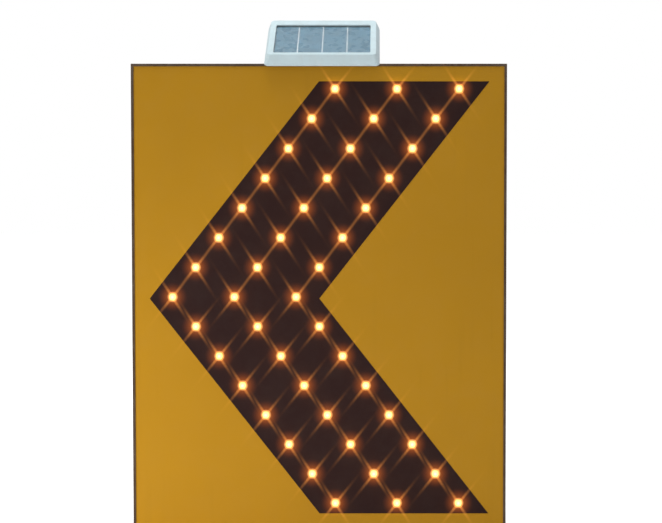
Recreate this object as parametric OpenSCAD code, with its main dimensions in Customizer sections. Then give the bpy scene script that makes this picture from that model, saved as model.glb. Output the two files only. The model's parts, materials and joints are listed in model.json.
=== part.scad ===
// Solar-powered chevron alignment sign: a framed board with a black chevron,
// 45 lamps, a tilting solar panel on top, and a control box and two post
// clamps behind it. Millimetres. X is to the right, the face looks along -Y
// and Z is up. The origin is on the post's axis, half way up the lower clamp.

/* [Board] */
// Width of the board over its frame
board_w = 600; // [500:5:900]
// Height of the board over its frame
board_h = 750; // [620:5:1100]
// Depth of the frame from front to back
board_d = 32; // [32:0.5:60]
// Thickness of the frame's outer wall
frame_wall = 2; // [1.5:0.1:3]
// Width of the front lip that holds the face
lip_w = 4; // [3:0.5:10]
// Thickness of the front lip
lip_t = 1.5; // [1:0.1:3]
// Width of the ledges that the face and the back cover rest on
ledge_w = 14; // [14:0.5:20]
// Thickness of the aluminium face plate
plate_t = 2; // [1.5:0.1:3]
// Thickness of the yellow film
film_t = 0.5; // [0.2:0.05:0.8]
// Thickness of the black chevron film
chevron_t = 0.4; // [0.2:0.05:0.8]
// Thickness of the back cover
cover_t = 2; // [1.5:0.1:3]
// Thickness of the seal under the back cover
seal_t = 1; // [0.5:0.1:2]

/* [Chevron and lamps] */
// Yellow margin round the chevron
margin = 28; // [20:1:60]
// Width of a chevron limb, measured level
limb_w = 272; // [200:1:300]
// Rows of lamps above the middle row, and as many below it
lamp_rows = 7; // [4:1:8]
// Lamps in each row
lamps_across = 3; // [2:1:3]
// From the limb's edge to the nearest lamp, measured level
lamp_inset = 37; // [25:1:60]
// From the last row to the chevron's end
lamp_end_gap = 14.5; // [12:0.5:30]
// How far the middle row stands above the chevron's tip
lamp_up = 2.6; // [0:0.1:6]
// Diameter of a lamp's lens
lens_d = 12; // [10:0.5:13]
// Diameter of a lamp's flange
bezel_d = 17; // [16:0.5:22]
// How far a lens stands out from its flange
lens_rise = 3.4; // [2:0.1:5]

/* [Post mounting] */
// Diameter of the post
post_d = 76.1; // [60:0.1:92]
// From the middle of one clamp to the middle of the other
clamp_gap = 400; // [360:5:600]
// Height of a clamp
clamp_h = 40; // [30:1:60]
// From the post to the face that the saddle rests on
saddle_t = 8; // [8:0.5:20]
// Depth of a support rail
rail_d = 16; // [14:0.5:24]
// Height of a support rail
rail_h = 30; // [28:1:38]
// Length of a support rail
rail_len = 560; // [400:5:570]

/* [Solar panel] */
// Width of the solar housing
solar_w = 184; // [160:1:260]
// Length of the solar housing, front to back
solar_l = 128; // [106:1:180]
// Thickness of the solar housing
solar_t = 18; // [16:0.5:26]
// Tilt from level, in degrees
tilt = 35; // [20:1:35]
// From the housing's front edge to the pivot
solar_ahead = 51.9; // [45:0.1:56]
// From the board's middle to the solar panel's middle
solar_x = 5; // [-100:1:100]

/* [Control box] */
// Width of the control box
box_w = 180; // [150:1:220]
// Height of the control box
box_h = 140; // [136:1:170]
// Depth of the control box
box_d = 50; // [45:1:80]
// Wall thickness of the control box
box_wall = 2.5; // [2:0.1:4]

/* [Hidden] */
$fn = 48;

// Clearances
edge_gap = 0.2;      // round a plate that drops into a frame
hole_gap = 0.1;      // round a screw that passes through
turn_gap = 0.06;     // round a pin that turns
move_gap = 0.4;      // between faces that slide past each other

// Planes from front to back
post_r = post_d / 2;
rail_back_y = -(post_r + saddle_t);
cover_y = rail_back_y - rail_d;
front_y = cover_y - board_d;
board_z = clamp_gap / 2;

// Depths into the board, from its front plane
v_film = lip_t;
v_plate = v_film + film_t;
v_ledge = v_plate + plate_t;
ledge_t = 1.6;
v_cover = board_d - cover_t;
v_seal = v_cover - seal_t;
rear_ledge_t = 2;

// Chamber in the frame that the corner keys slide into
shelf_t = 1.5;
chamber_w = 8;
key_t = 12;
key_leg = 45;
v_chamber = v_ledge + 5;
mitre = 30;
drain_r = 1.8;
drain_x = 200;

// Chevron outline
half_cw = board_w / 2 - margin;
half_ch = board_h / 2 - margin;
chevron_run = 2 * half_cw - limb_w;

// Lamps
lamp_pitch = (limb_w - 2 * lamp_inset) / (lamps_across - 1);
row_pitch = (half_ch - lamp_end_gap) / lamp_rows;
row_run = row_pitch * chevron_run / half_ch;
lens_r = lens_d / 2;
barrel_r = lens_r + 0.75;
bezel_r = bezel_d / 2;
bezel_t = 1.2;
bezel_chamfer = 0.5;
v_bezel = v_film - chevron_t;
nut_t = 3.5;
nut_af = 18;
barrel_past_nut = 1.1;
v_barrel = v_ledge + nut_t + barrel_past_nut;
lens_wall = 1.2;
lens_short = 1;
function lamp_at(k, row) =
    [-half_cw + lamp_inset + k * lamp_pitch + abs(row) * row_run, lamp_up + row * row_pitch];
lamp_places = [for (row = [-lamp_rows : lamp_rows], k = [0 : lamps_across - 1]) lamp_at(k, row)];

// Circuit strips behind the lamps
chip = 3.5;
chip_t = 1.6;
chip_gap = 0.3;
v_strip = v_barrel + chip_gap + chip_t;
strip_t = 1.6;
strip_w = 16;
strip_end = 15;
v_strip_back = v_strip + strip_t;
strip_angle = atan2(row_pitch, row_run);
row_step = norm([row_pitch, row_run]);
standoff_r = 3;
strip_screw_r = 1.25;
strip_head_r = 2.75;
strip_head_t = 1.6;
strip_screw_in = 4.5;
plug_l = 12;
plug_w = 8;
plug_t = 6;
plug_row = 1.75;
standoff_rows = [0.5, 0.5 + (lamp_rows - 1) / 2 - (lamp_rows % 2 == 0 ? 0.5 : 0), lamp_rows - 0.5];

// Screws of the back cover and of the control box
screw_r = 2;
screw_head_r = 4;
screw_head_t = 2.4;
recess_l = 4.4;
recess_w = 0.9;
recess_deep = 1.2;
screw_l = 8;
screw_in = 8;
screw_end = 60;
screw_side_end = 55;
edge_screws = concat(
    [for (s = [-1, 1], k = [0 : 3])
        [(k - 1.5) * (board_w - 2 * screw_end) / 3, s * (board_h / 2 - screw_in)]],
    [for (s = [-1, 1], k = [-2 : 2])
        [s * (board_w / 2 - screw_in), k * (board_h / 2 - screw_side_end) / 2]]
);

// Support rails and their bolts
rail_wall = 2;
rail_slot = 11;
backing_t = 4;
backing_side = 30;
backing_len = min(rail_len, board_w - 2 * backing_side);
rail_bolt_r = 3;
rail_bolt_af = 10;
rail_bolt_head = 4;
rail_bolt_past = 1;
rail_bolt_end = 8;
rail_bolt_mid = 100;
rail_bolt_x = [-backing_len / 2 + rail_bolt_end, -rail_bolt_mid,
               rail_bolt_mid, backing_len / 2 - rail_bolt_end];
rail_z = [0, clamp_gap];

// Post clamps
saddle_plate = 5;
ring_t = 5.4;
strap_t = 4.5;
clamp_bolt_r = 4;
clamp_bolt_af = 13;
clamp_head = 5.5;
clamp_bolt_out = 8.55;
clamp_bolt_x = post_r + ring_t + clamp_bolt_out;
clamp_plate_end = 10;
clamp_plate_x = clamp_bolt_x + clamp_plate_end;
saddle_edge = 10;
strap_edge = 8;
strap_ear = 5;
strap_back = strap_edge + strap_ear;
clamp_hole_gap = 0.5;
washer_r = 8;
washer_t = 1.6;
clamp_nut_t = 6.8;
thread_proud = 5;

// Solar panel, in its own frame: y up the slope, z square to the glass
pivot_back = 8;
pivot_up = 14;
pivot_y = cover_y + pivot_back;
pivot_z = board_z + board_h / 2 + pivot_up;
solar_up = 13.1;
solar_mid = solar_l / 2 - solar_ahead;
draft = 2.8;
solar_wall = 5;
solar_corner = 7;
flange_t = 2.5;
glass_t = 3;
window_shift = -4.2;
glass_border = 12;
glass_end_border = 13;
window_border = 15;
window_end_border = 17;
cell_t = 0.4;
cell_count = 4;
cell_gap = 2;
cell_border = 14;
cell_end_border = 17;
cells_w = solar_w - 2 * cell_border;
cells_l = solar_l - 2 * cell_end_border;
cells_mid = solar_mid + window_shift;
cell_w = (cells_w - (cell_count - 1) * cell_gap) / cell_count;
sheet_t = 0.5;
ribbon_w = 1.2;
bus_w = 3;
bus_gap = 1;
under_glass = solar_t - flange_t - glass_t;
solar_cover_t = 2.5;
boss_r = 3.5;
boss_in = 9;
boss_hole_past = 3;
cover_corner_screws = [for (sx = [-1, 1], sy = [-1, 1])
    [sx * (solar_w / 2 - boss_in), solar_mid + sy * (solar_l / 2 - boss_in)]];
small_r = 1.25;
small_head_r = 2.75;
small_head_t = 1.5;
small_l = 6;
jbox_w = 50;
jbox_l = 40;
jbox_t = 14;
jbox_wall = 2;
jbox_end = 13;
jbox_corner = 4;

// Tilt brackets, lugs, pivots and knobs
lug_x = 55;
lug_t = 3;
lug_r = 9;
lug_foot = 22;
lug_foot_t = 2.5;
lug_foot_side = 2;
lug_screw_y = 6;
lug_screws = [for (s = [-1, 1], y = [-lug_screw_y, lug_screw_y]) [s * (lug_x - lug_foot / 2), y]];
pivot_washer_t = 0.9;
pivot_washer_r = 7;
bracket_x = lug_x + lug_t + 1;
bracket_t = 3;
bracket_foot = 22;
bracket_from = 6;
bracket_to = 28;
pivot_r = 3;
pivot_af = 10;
pivot_head = 4;
knob_r = 10;
knob_t = 13.6;
knob_lobes = 5;
lobe_r = 3.2;
notch_out = 0.6;
knob_end_gap = 1;
knob_bore = 9.6;
bracket_screw_r = 2.5;
bracket_head_r = 4.5;
bracket_head_t = 3;
bracket_screw_l = 6;
bracket_screw_gap = 11;
bracket_socket_r = 2.3;
bracket_socket_deep = 1.6;
bracket_screw_places = [for (s = [-1, 1], k = [-0.5, 0.5])
    [solar_x + s * (bracket_x + bracket_t + bracket_foot / 2 + k * bracket_screw_gap),
     front_y + (bracket_from + bracket_to) / 2]];

// Control box, its lid and its lock
box_y0 = cover_y;
box_y1 = box_y0 + box_d;
box_drop = 80;
box_z0 = board_z - box_drop;
box_mid_x = round((post_r + board_w / 2 - screw_in) / 2);
box_x0 = box_mid_x - box_w / 2;
box_corner = 6;
lid_t = 3;
lid_seal_t = 0.9;
lid_gap = 1;
lid_y0 = box_y1 + lid_gap;
lid_y1 = lid_y0 + lid_t;
hinge_rise = 6;
hinge_y = lid_y0 + lid_t / 2;
hinge_z = box_z0 + box_h + hinge_rise;
knuckle_r = 4.5;
pin_r = 2;
hinge_out = 70;
hinge_mid = 50;
hinge_in = 30;
hinge_side_gap = 0.3;
hinge_rib = 12;
hinge_rib_in = 0.6;
hinge_tab = 5;
pin_head_t = 1.5;
lock_up = 20;
lock_z = box_z0 + lock_up;
lock_r = 8;
lock_plug_r = 5;
lock_face_r = 10.5;
lock_face_t = 3;
lock_depth = 13;
cam_t = 2;
cam_w = 10;
cam_l = 16;
keeper_w = 20;
keeper_t = 2.5;
keeper_top = 8;
keeper_gap = 0.3;
cam_gap = 0.2;
key_slot_l = 7;
key_slot_w = 1.4;
key_slot_deep = 1.2;
lock_y_in = lid_y0 - lock_depth;
wire_hole_r = 10;
box_screw_in = 14;
box_screws = [for (sx = [-1, 1], sz = [-1, 1])
    [box_mid_x + sx * (box_w / 2 - box_screw_in),
     box_z0 - board_z + box_h / 2 + sz * (box_h / 2 - box_screw_in)]];

// What the control box holds, side by side: the batteries and the control board
cell_r = 9.1;
cell_l = 65;
cell_step = 20;
cell_end_gap = 1;
battery_count = 4;
holder_t = 2;
holder_end = 3;
holder_shelf_t = 1.2;
holder_l = cell_l + 2 * (holder_end + cell_end_gap);
holder_h = battery_count * cell_step + holder_t;
control_board_w = 55;
control_board_h = 72;
control_board_t = 1.6;
contents_gap = 12;
contents_w = holder_l + contents_gap + control_board_w;
holder_x = box_mid_x - contents_w / 2;
holder_z = box_z0 + 40;
board_x = holder_x + holder_l + contents_gap;
board_lift = 6;
board_y = box_y0 + box_wall + board_lift;
board_bottom = box_z0 + 46;
board_hole_in = 4;
board_holes = [for (x = [board_hole_in, control_board_w - board_hole_in],
                    z = [board_hole_in, control_board_h - board_hole_in])
    [board_x + x, board_bottom + z]];

// Parts on the control board: across, out from the board, and up
spacer_r = 2.5;
spacer_head_t = 2;
terminal_at = [10, 0, 2];
terminal = [35, 10, 8];
capacitor_at = [12, 0, 24];
capacitor_count = 3;
capacitor_step = 14;
capacitor_r = 4;
capacitor_h = 12;
driver_at = [10, 0, 36];
driver = [16, 3, 24];
fin_count = 4;
fin_step = 4.6;
fin_t = 1.6;
fin_out = 7;
relay_at = [32, 0, 38];
relay = [14, 12, 18];

// Rocker switch
switch_side = 45;
switch_x = box_x0 + box_w - switch_side;
switch_y = box_y0 + box_d / 2;
switch_body_x = 15;
switch_body_y = 9.5;
switch_flange = 3;
switch_flange_t = 2;
switch_corner = 2;
switch_cavity_x = 13.2;
switch_cavity_y = 7.2;
switch_body_h = 13;
switch_pivot = 4;
switch_pivot_z = box_z0 + switch_pivot;
switch_rest = -10;
rocker_x = 11.4;
rocker_y = 6.9;
rocker_tip = 8.5;
rocker_dip = 6.8;
rocker_side = 2;
rocker_back = 4;
rocker_back_x = 6;
axle_r = 1.5;
axle_out = 8.2;
axle_end_gap = 0.2;

// Cable gland
gland_side = 35;
gland_x = box_x0 + gland_side;
gland_bore_r = 3.5;
gland_grip = 11;
gland_passage_r = 5.5;
gland_thread_end = 3;
gland_r = 8;
gland_af = 22;
gland_hex_t = 6;
gland_cap_r = 9;
gland_cap_t = 8;
gland_inner_t = 4;

// Colours
frame_colour = [0.33, 0.27, 0.18];
metal = [0.72, 0.73, 0.74];
dark = [0.13, 0.12, 0.11];
circuit = [0.1, 0.35, 0.2];
shell = [0.86, 0.9, 0.9];
grey = [0.55, 0.57, 0.58];

// Children drawn in X and Z, from the plane y = y0 to the plane y = y1
module upright(y0, y1) {
    translate([0, y1, 0]) rotate([90, 0, 0]) linear_extrude(height = y1 - y0) children();
}

// The same, between two depths into the board and about the board's middle
module slab(v0, v1) {
    translate([0, 0, board_z]) upright(front_y + v0, front_y + v1) children();
}

// Children drawn in Y and Z, from x0 to x1
module across(x0, x1) {
    translate([x0, 0, 0]) rotate([90, 0, 90]) linear_extrude(height = x1 - x0) children();
}

// The same on both sides of the plane x = mid
module both_sides(mid, near, far) {
    across(mid + near, mid + far) children();
    across(mid - far, mid - near) children();
}

// Children spun about the axis of a lamp; a profile's height is its depth, negated
module turned_lamp(place) {
    translate([place[0], front_y, board_z + place[1]]) rotate([90, 0, 0])
        rotate_extrude($fn = 36) children();
}

module at_each(places) {
    for (p = places) translate(p) children();
}

module hexagon(across_flats) {
    circle(r = across_flats / 2 / cos(30), $fn = 6);
}

// A rectangle with round corners, from the origin
module rounded(w, h, r) {
    translate([r, 0]) square([w - 2 * r, h]);
    translate([0, r]) square([w, h - 2 * r]);
    for (x = [r, w - r], y = [r, h - r]) translate([x, y]) circle(r);
}

module ring(outer_r, inner_r) {
    difference() {
        circle(outer_r);
        circle(inner_r);
    }
}

// ---- Frame ----

module frame_profile() {
    difference() {
        union() {
            square([frame_wall, board_d]);
            square([lip_w, lip_t]);
            translate([0, v_ledge]) square([ledge_w, ledge_t]);
            translate([0, v_chamber - shelf_t])
                square([frame_wall + chamber_w + shelf_t, key_t + 2 * shelf_t]);
            translate([0, v_seal - rear_ledge_t]) square([ledge_w, rear_ledge_t]);
        }
        translate([frame_wall, v_chamber]) square([chamber_w, key_t]);
    }
}

// One rail on the X axis, its outer face on z = 0, cut at 45 degrees at both ends
module mitred_rail(length) {
    intersection() {
        rotate([0, -90, 0]) linear_extrude(height = length, center = true) frame_profile();
        upright(-1, board_d + 1)
            polygon([[-length / 2, 0], [length / 2, 0],
                     [length / 2 - mitre, mitre], [mitre - length / 2, mitre]]);
    }
}

module edge_screw_holes() {
    slab(v_seal - rear_ledge_t - 1, v_seal + 1) at_each(edge_screws) circle(screw_r + hole_gap);
}

module frame_top() {
    color(frame_colour) difference() {
        translate([0, front_y, board_z + board_h / 2]) rotate([0, 180, 0]) mitred_rail(board_w);
        edge_screw_holes();
        bracket_screw_shanks();
    }
}

module frame_bottom() {
    color(frame_colour) difference() {
        translate([0, front_y, board_z - board_h / 2]) mitred_rail(board_w);
        edge_screw_holes();
        for (x = [-drain_x, drain_x])
            translate([x, front_y + v_seal - rear_ledge_t - drain_r - edge_gap,
                       board_z - board_h / 2 - 1])
                cylinder(r = drain_r, h = frame_wall + 2);
    }
}

module frame_left() {
    color(frame_colour) difference() {
        translate([-board_w / 2, front_y, board_z]) rotate([0, 90, 0]) mitred_rail(board_h);
        edge_screw_holes();
    }
}

module frame_right() {
    color(frame_colour) difference() {
        translate([board_w / 2, front_y, board_z]) rotate([0, -90, 0]) mitred_rail(board_h);
        edge_screw_holes();
    }
}

module corner_keys() {
    key_w = chamber_w - edge_gap;
    color(metal) slab(v_chamber, v_chamber + key_t - edge_gap)
        for (mx = [0, 1], mz = [0, 1]) mirror([mx, 0]) mirror([0, mz])
            translate([frame_wall - board_w / 2, frame_wall - board_h / 2]) {
                square([key_leg, key_w]);
                square([key_w, key_leg]);
            }
}

// ---- Face ----

module inside_frame() {
    square([board_w - 2 * (frame_wall + edge_gap), board_h - 2 * (frame_wall + edge_gap)],
           center = true);
}

module lamp_holes() {
    at_each(lamp_places) circle(barrel_r + hole_gap);
}

module face_plate() {
    color(metal) slab(v_plate, v_ledge) difference() {
        inside_frame();
        lamp_holes();
    }
}

module yellow_film() {
    color([0.8, 0.52, 0.1]) slab(v_film, v_plate) difference() {
        inside_frame();
        lamp_holes();
    }
}

module chevron_film() {
    color(dark) slab(v_film - chevron_t, v_film) difference() {
        polygon([[-half_cw, 0], [half_cw - limb_w, half_ch], [half_cw, half_ch],
                 [limb_w - half_cw, 0], [half_cw, -half_ch], [half_cw - limb_w, -half_ch]]);
        lamp_holes();
    }
}

// ---- Back cover ----

module back_cover() {
    color(metal) slab(v_cover, board_d) difference() {
        inside_frame();
        at_each(edge_screws) circle(screw_r + hole_gap);
        at_each(box_screws) circle(screw_r);
        for (x = rail_bolt_x, z = rail_z) translate([x, z - board_z]) circle(rail_bolt_r + hole_gap);
        translate([box_mid_x, box_z0 + box_h / 2 - board_z]) circle(wire_hole_r);
    }
}

module back_cover_seal() {
    seal_w = ledge_w - frame_wall - 2 * edge_gap;
    color(dark) slab(v_seal, v_cover) difference() {
        inside_frame();
        square([board_w - 2 * (frame_wall + edge_gap + seal_w),
                board_h - 2 * (frame_wall + edge_gap + seal_w)], center = true);
        at_each(edge_screws) circle(screw_r + hole_gap);
    }
}

// A pan-head screw along Y with a cross recess; the head sits on the plane y = seat
module pan_screw(place, seat) {
    difference() {
        translate([0, 0, board_z]) {
            upright(seat, seat + screw_head_t) translate(place) circle(screw_head_r, $fn = 32);
            upright(seat - screw_l, seat) translate(place) circle(screw_r, $fn = 32);
        }
        translate([place[0], seat + screw_head_t, board_z + place[1]])
            for (turn = [45, 135]) rotate([0, turn, 0])
                cube([recess_l, 2 * recess_deep, recess_w], center = true);
    }
}

module cover_screws() {
    color(grey) {
        for (p = edge_screws) pan_screw(p, cover_y);
        for (p = box_screws) pan_screw(p, box_y0 + box_wall);
    }
}

// ---- Lamps ----

module lamp_bezels() {
    v_top = bezel_t - v_bezel;
    color([0.1, 0.1, 0.1]) for (p = lamp_places) turned_lamp(p)
        polygon([[lens_r, -v_barrel], [barrel_r, -v_barrel], [barrel_r, -v_bezel],
                 [bezel_r, -v_bezel], [bezel_r, v_top - bezel_chamfer],
                 [bezel_r - bezel_chamfer, v_top], [lens_r, v_top]]);
}

module lamp_lenses() {
    top = bezel_t - v_bezel + lens_rise;
    dome_r = (lens_r * lens_r + lens_rise * lens_rise) / (2 * lens_rise);
    bottom = -(v_barrel - lens_short);
    color([1, 0.72, 0.2]) for (p = lamp_places) turned_lamp(p) difference() {
        intersection() {
            translate([0, top - dome_r]) circle(dome_r);
            translate([0, bottom]) square([lens_r, top - bottom]);
        }
        intersection() {
            translate([0, top - dome_r]) circle(dome_r - lens_wall);
            translate([0, bottom - 1]) square([lens_r - lens_wall, top - bottom + 1]);
        }
        translate([0, bottom - 1]) square([lens_r - lens_wall, top - dome_r - bottom + 1]);
    }
}

module lamp_nuts() {
    color(dark) slab(v_ledge, v_ledge + nut_t) at_each(lamp_places) difference() {
        hexagon(nut_af);
        circle(barrel_r);
    }
}

module led_chips() {
    color([0.95, 0.9, 0.7]) slab(v_barrel + chip_gap, v_strip)
        at_each(lamp_places) square(chip, center = true);
}

// One circuit strip behind lamp column k, from row "from" to row "to"
module strip_outline(k, from, to) {
    middle = (lamp_at(k, from) + lamp_at(k, to)) / 2;
    length = abs(to - from) * row_step + 2 * strip_end;
    translate(middle) rotate(from < 0 ? -strip_angle : strip_angle) difference() {
        square([length, strip_w], center = true);
        for (r = standoff_rows)
            if (abs(r) > abs(from)) translate([(r - (abs(from) + abs(to)) / 2) * row_step, 0])
                circle(strip_screw_r + hole_gap);
    }
}

module led_strips_upper() {
    color(circuit) slab(v_strip, v_strip_back)
        for (k = [0 : lamps_across - 1]) strip_outline(k, 0, lamp_rows);
}

module led_strips_lower() {
    color(circuit) slab(v_strip, v_strip_back)
        for (k = [0 : lamps_across - 1]) strip_outline(k, -1, -lamp_rows);
}

function strip_fixings() = concat(
    [for (k = [0 : lamps_across - 1], r = standoff_rows) lamp_at(k, r)],
    [for (k = [0 : lamps_across - 1], r = standoff_rows) if (r > 1) lamp_at(k, -r)]
);

module strip_standoffs() {
    color(metal) difference() {
        slab(v_ledge, v_strip) at_each(strip_fixings()) circle(standoff_r);
        slab(v_strip_back - strip_screw_in, v_strip + 1)
            at_each(strip_fixings()) circle(strip_screw_r);
    }
}

module strip_screws() {
    color(grey) {
        slab(v_strip_back, v_strip_back + strip_head_t) at_each(strip_fixings()) circle(strip_head_r);
        slab(v_strip_back - strip_screw_in, v_strip_back)
            at_each(strip_fixings()) circle(strip_screw_r);
    }
}

module strip_connectors() {
    color([0.9, 0.9, 0.85]) slab(v_strip_back, v_strip_back + plug_t)
        for (k = [0 : lamps_across - 1], s = [-1, 1])
            translate(lamp_at(k, s * plug_row)) rotate(s * strip_angle)
                square([plug_l, plug_w], center = true);
}

// ---- Support rails ----

module support_rail(z) {
    floor_y = cover_y + rail_wall;
    color(metal) difference() {
        across(-rail_len / 2, rail_len / 2) translate([cover_y, z - rail_h / 2]) difference() {
            square([rail_d, rail_h]);
            translate([rail_wall, rail_wall])
                square([rail_d - 2 * rail_wall, rail_h - 2 * rail_wall]);
            translate([rail_d / 2, (rail_h - rail_slot) / 2]) square([rail_d, rail_slot]);
        }
        upright(cover_y - 1, floor_y + 1)
            for (x = rail_bolt_x) translate([x, z]) circle(rail_bolt_r + hole_gap);
    }
}

module rail_upper() { support_rail(rail_z[1]); }

module rail_lower() { support_rail(rail_z[0]); }

module rail_backings() {
    color(metal) slab(v_cover - backing_t, v_cover) for (z = rail_z) translate([0, z - board_z])
        difference() {
            square([backing_len, rail_h], center = true);
            for (x = rail_bolt_x) translate([x, 0]) circle(rail_bolt_r);
        }
}

module rail_bolts() {
    floor_y = cover_y + rail_wall;
    end_y = front_y + v_cover - backing_t - rail_bolt_past;
    color(grey) for (x = rail_bolt_x, z = rail_z) {
        upright(floor_y, floor_y + rail_bolt_head) translate([x, z]) hexagon(rail_bolt_af);
        upright(end_y, floor_y) translate([x, z]) circle(rail_bolt_r);
    }
}

// ---- Post clamps ----

module clamp_saddle(z) {
    color(metal) difference() {
        translate([0, 0, z - clamp_h / 2]) linear_extrude(height = clamp_h) difference() {
            union() {
                translate([-clamp_plate_x, rail_back_y])
                    square([2 * clamp_plate_x, saddle_plate]);
                intersection() {
                    circle(post_r + ring_t, $fn = 96);
                    translate([-post_r - ring_t, rail_back_y])
                        square([2 * (post_r + ring_t), -rail_back_y - saddle_edge]);
                }
            }
            circle(post_r, $fn = 96);
        }
        clamp_bolt_holes(z, rail_back_y - 1, rail_back_y + saddle_plate + 1);
    }
}

module clamp_strap(z) {
    color(metal) difference() {
        translate([0, 0, z - clamp_h / 2]) linear_extrude(height = clamp_h) difference() {
            union() {
                translate([-clamp_plate_x, strap_edge]) square([2 * clamp_plate_x, strap_ear]);
                intersection() {
                    circle(post_r + strap_t, $fn = 96);
                    translate([-post_r - strap_t, strap_edge])
                        square([2 * (post_r + strap_t), post_r + strap_t]);
                }
            }
            circle(post_r, $fn = 96);
        }
        clamp_bolt_holes(z, strap_edge - 1, strap_edge + strap_ear + 1);
    }
}

module clamp_bolt_holes(z, y0, y1) {
    upright(y0, y1) for (s = [-1, 1]) translate([s * clamp_bolt_x, z]) circle(clamp_bolt_r + clamp_hole_gap);
}

module clamp_saddle_upper() { clamp_saddle(rail_z[1]); }

module clamp_saddle_lower() { clamp_saddle(rail_z[0]); }

module clamp_strap_upper() { clamp_strap(rail_z[1]); }

module clamp_strap_lower() { clamp_strap(rail_z[0]); }

module at_clamp_bolts() {
    for (s = [-1, 1], z = rail_z) translate([s * clamp_bolt_x, z]) children();
}

module clamp_bolts() {
    head_y = rail_back_y - rail_wall;
    end_y = strap_back + washer_t + clamp_nut_t + thread_proud;
    color(grey) {
        upright(head_y - clamp_head, head_y) at_clamp_bolts() hexagon(clamp_bolt_af);
        upright(head_y, end_y) at_clamp_bolts() circle(clamp_bolt_r);
    }
}

module clamp_washers() {
    color(metal) upright(strap_back, strap_back + washer_t)
        at_clamp_bolts() ring(washer_r, clamp_bolt_r + edge_gap);
}

module clamp_nuts() {
    nut_y = strap_back + washer_t;
    color(grey) upright(nut_y, nut_y + clamp_nut_t) at_clamp_bolts() difference() {
        hexagon(clamp_bolt_af);
        circle(clamp_bolt_r);
    }
}

// ---- Tilt brackets and pivots ----

module pivot_hub(r) {
    translate([pivot_y, pivot_z]) circle(r);
}

// The bracket on the side s: an ear beside the lug, and a foot on the frame
module tilt_bracket(s) {
    top_z = board_z + board_h / 2;
    x0 = solar_x + (s > 0 ? bracket_x : -bracket_x - bracket_t);
    foot_x0 = s > 0 ? x0 : x0 - bracket_foot;
    color(metal) difference() {
        union() {
            across(x0, x0 + bracket_t) difference() {
                union() {
                    pivot_hub(lug_r);
                    polygon([[front_y + bracket_from, top_z],
                             [front_y + bracket_to, top_z],
                             [pivot_y, pivot_z - lug_r],
                             [pivot_y, pivot_z + lug_r],
                             [front_y + bracket_from, top_z + bracket_t]]);
                }
                pivot_hub(pivot_r + turn_gap);
            }
            translate([foot_x0, front_y + bracket_from, top_z])
                cube([bracket_foot + bracket_t, bracket_to - bracket_from, bracket_t]);
        }
        bracket_screw_shanks();
    }
}

module tilt_bracket_left() { tilt_bracket(-1); }

module tilt_bracket_right() { tilt_bracket(1); }

module bracket_screw_shanks() {
    top = board_z + board_h / 2 + bracket_t;
    for (p = bracket_screw_places) translate([p[0], p[1], top - bracket_t - bracket_screw_l])
        cylinder(r = bracket_screw_r, h = bracket_screw_l + bracket_t);
}

module bracket_screws() {
    top = board_z + board_h / 2 + bracket_t;
    color(grey) {
        bracket_screw_shanks();
        for (p = bracket_screw_places) translate([p[0], p[1], top]) difference() {
            cylinder(r = bracket_head_r, h = bracket_head_t);
            translate([0, 0, bracket_head_t - bracket_socket_deep])
                cylinder(r = bracket_socket_r, h = bracket_socket_deep + 1, $fn = 6);
        }
    }
}

// Children drawn in the solar panel's own frame, whose origin is on the pivot
module tilted() {
    translate([solar_x, pivot_y, pivot_z]) rotate([tilt, 0, 0]) children();
}

module panel_lugs() {
    color(metal) tilted() difference() {
        union() {
            both_sides(0, lug_x, lug_x + lug_t) {
                circle(lug_r);
                translate([-lug_r, 0]) square([2 * lug_r, solar_up]);
            }
            both_sides(0, lug_x - lug_foot, lug_x + lug_t)
                translate([-lug_r - lug_foot_side, solar_up - lug_foot_t])
                    square([2 * (lug_r + lug_foot_side), lug_foot_t]);
        }
        across(-lug_x - lug_t - 1, lug_x + lug_t + 1) circle(pivot_r);
        lug_screw_shanks();
    }
}

module lug_screw_shanks() {
    for (p = lug_screws) translate([p[0], p[1], solar_up - lug_foot_t])
        cylinder(r = small_r, h = small_l);
}

module solar_screws() {
    color(grey) tilted() {
        lug_screw_shanks();
        for (p = lug_screws) translate([p[0], p[1], solar_up - lug_foot_t - small_head_t])
            cylinder(r = small_head_r, h = small_head_t);
        for (p = cover_corner_screws) translate([p[0], p[1], solar_up]) {
            cylinder(r = small_head_r, h = small_head_t);
            cylinder(r = small_r, h = small_l + boss_hole_past - 1);
        }
    }
}

module pivot_bolts() {
    end_x = bracket_x + bracket_t + move_gap + knob_bore - knob_end_gap;
    color(grey) tilted() {
        both_sides(0, lug_x - pivot_head, lug_x) hexagon(pivot_af);
        both_sides(0, lug_x, end_x) circle(pivot_r);
    }
}

module pivot_washers() {
    face_x = lug_x + lug_t;
    color(dark) tilted() both_sides(0, face_x, face_x + pivot_washer_t)
        ring(pivot_washer_r, pivot_r);
}

// A lobed knob on the side s, with a blind bore for the pivot bolt
module tilt_knob(s) {
    near_x = bracket_x + bracket_t + move_gap;
    x0 = solar_x + (s > 0 ? near_x : -near_x - knob_t);
    bore_x0 = solar_x + (s > 0 ? near_x - 1 : -near_x - knob_bore);
    color(dark) difference() {
        across(x0, x0 + knob_t) translate([pivot_y, pivot_z]) difference() {
            union() {
                circle(knob_r - lobe_r / 2);
                for (i = [0 : knob_lobes - 1]) rotate(i * 360 / knob_lobes)
                    translate([knob_r - lobe_r, 0]) circle(lobe_r);
            }
            for (i = [0 : knob_lobes - 1]) rotate((i + 0.5) * 360 / knob_lobes)
                translate([knob_r + notch_out, 0]) circle(lobe_r);
        }
        across(bore_x0, bore_x0 + knob_bore + 1) pivot_hub(pivot_r + turn_gap);
    }
}

module tilt_knob_left() { tilt_knob(-1); }

module tilt_knob_right() { tilt_knob(1); }

// ---- Solar panel ----

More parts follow.
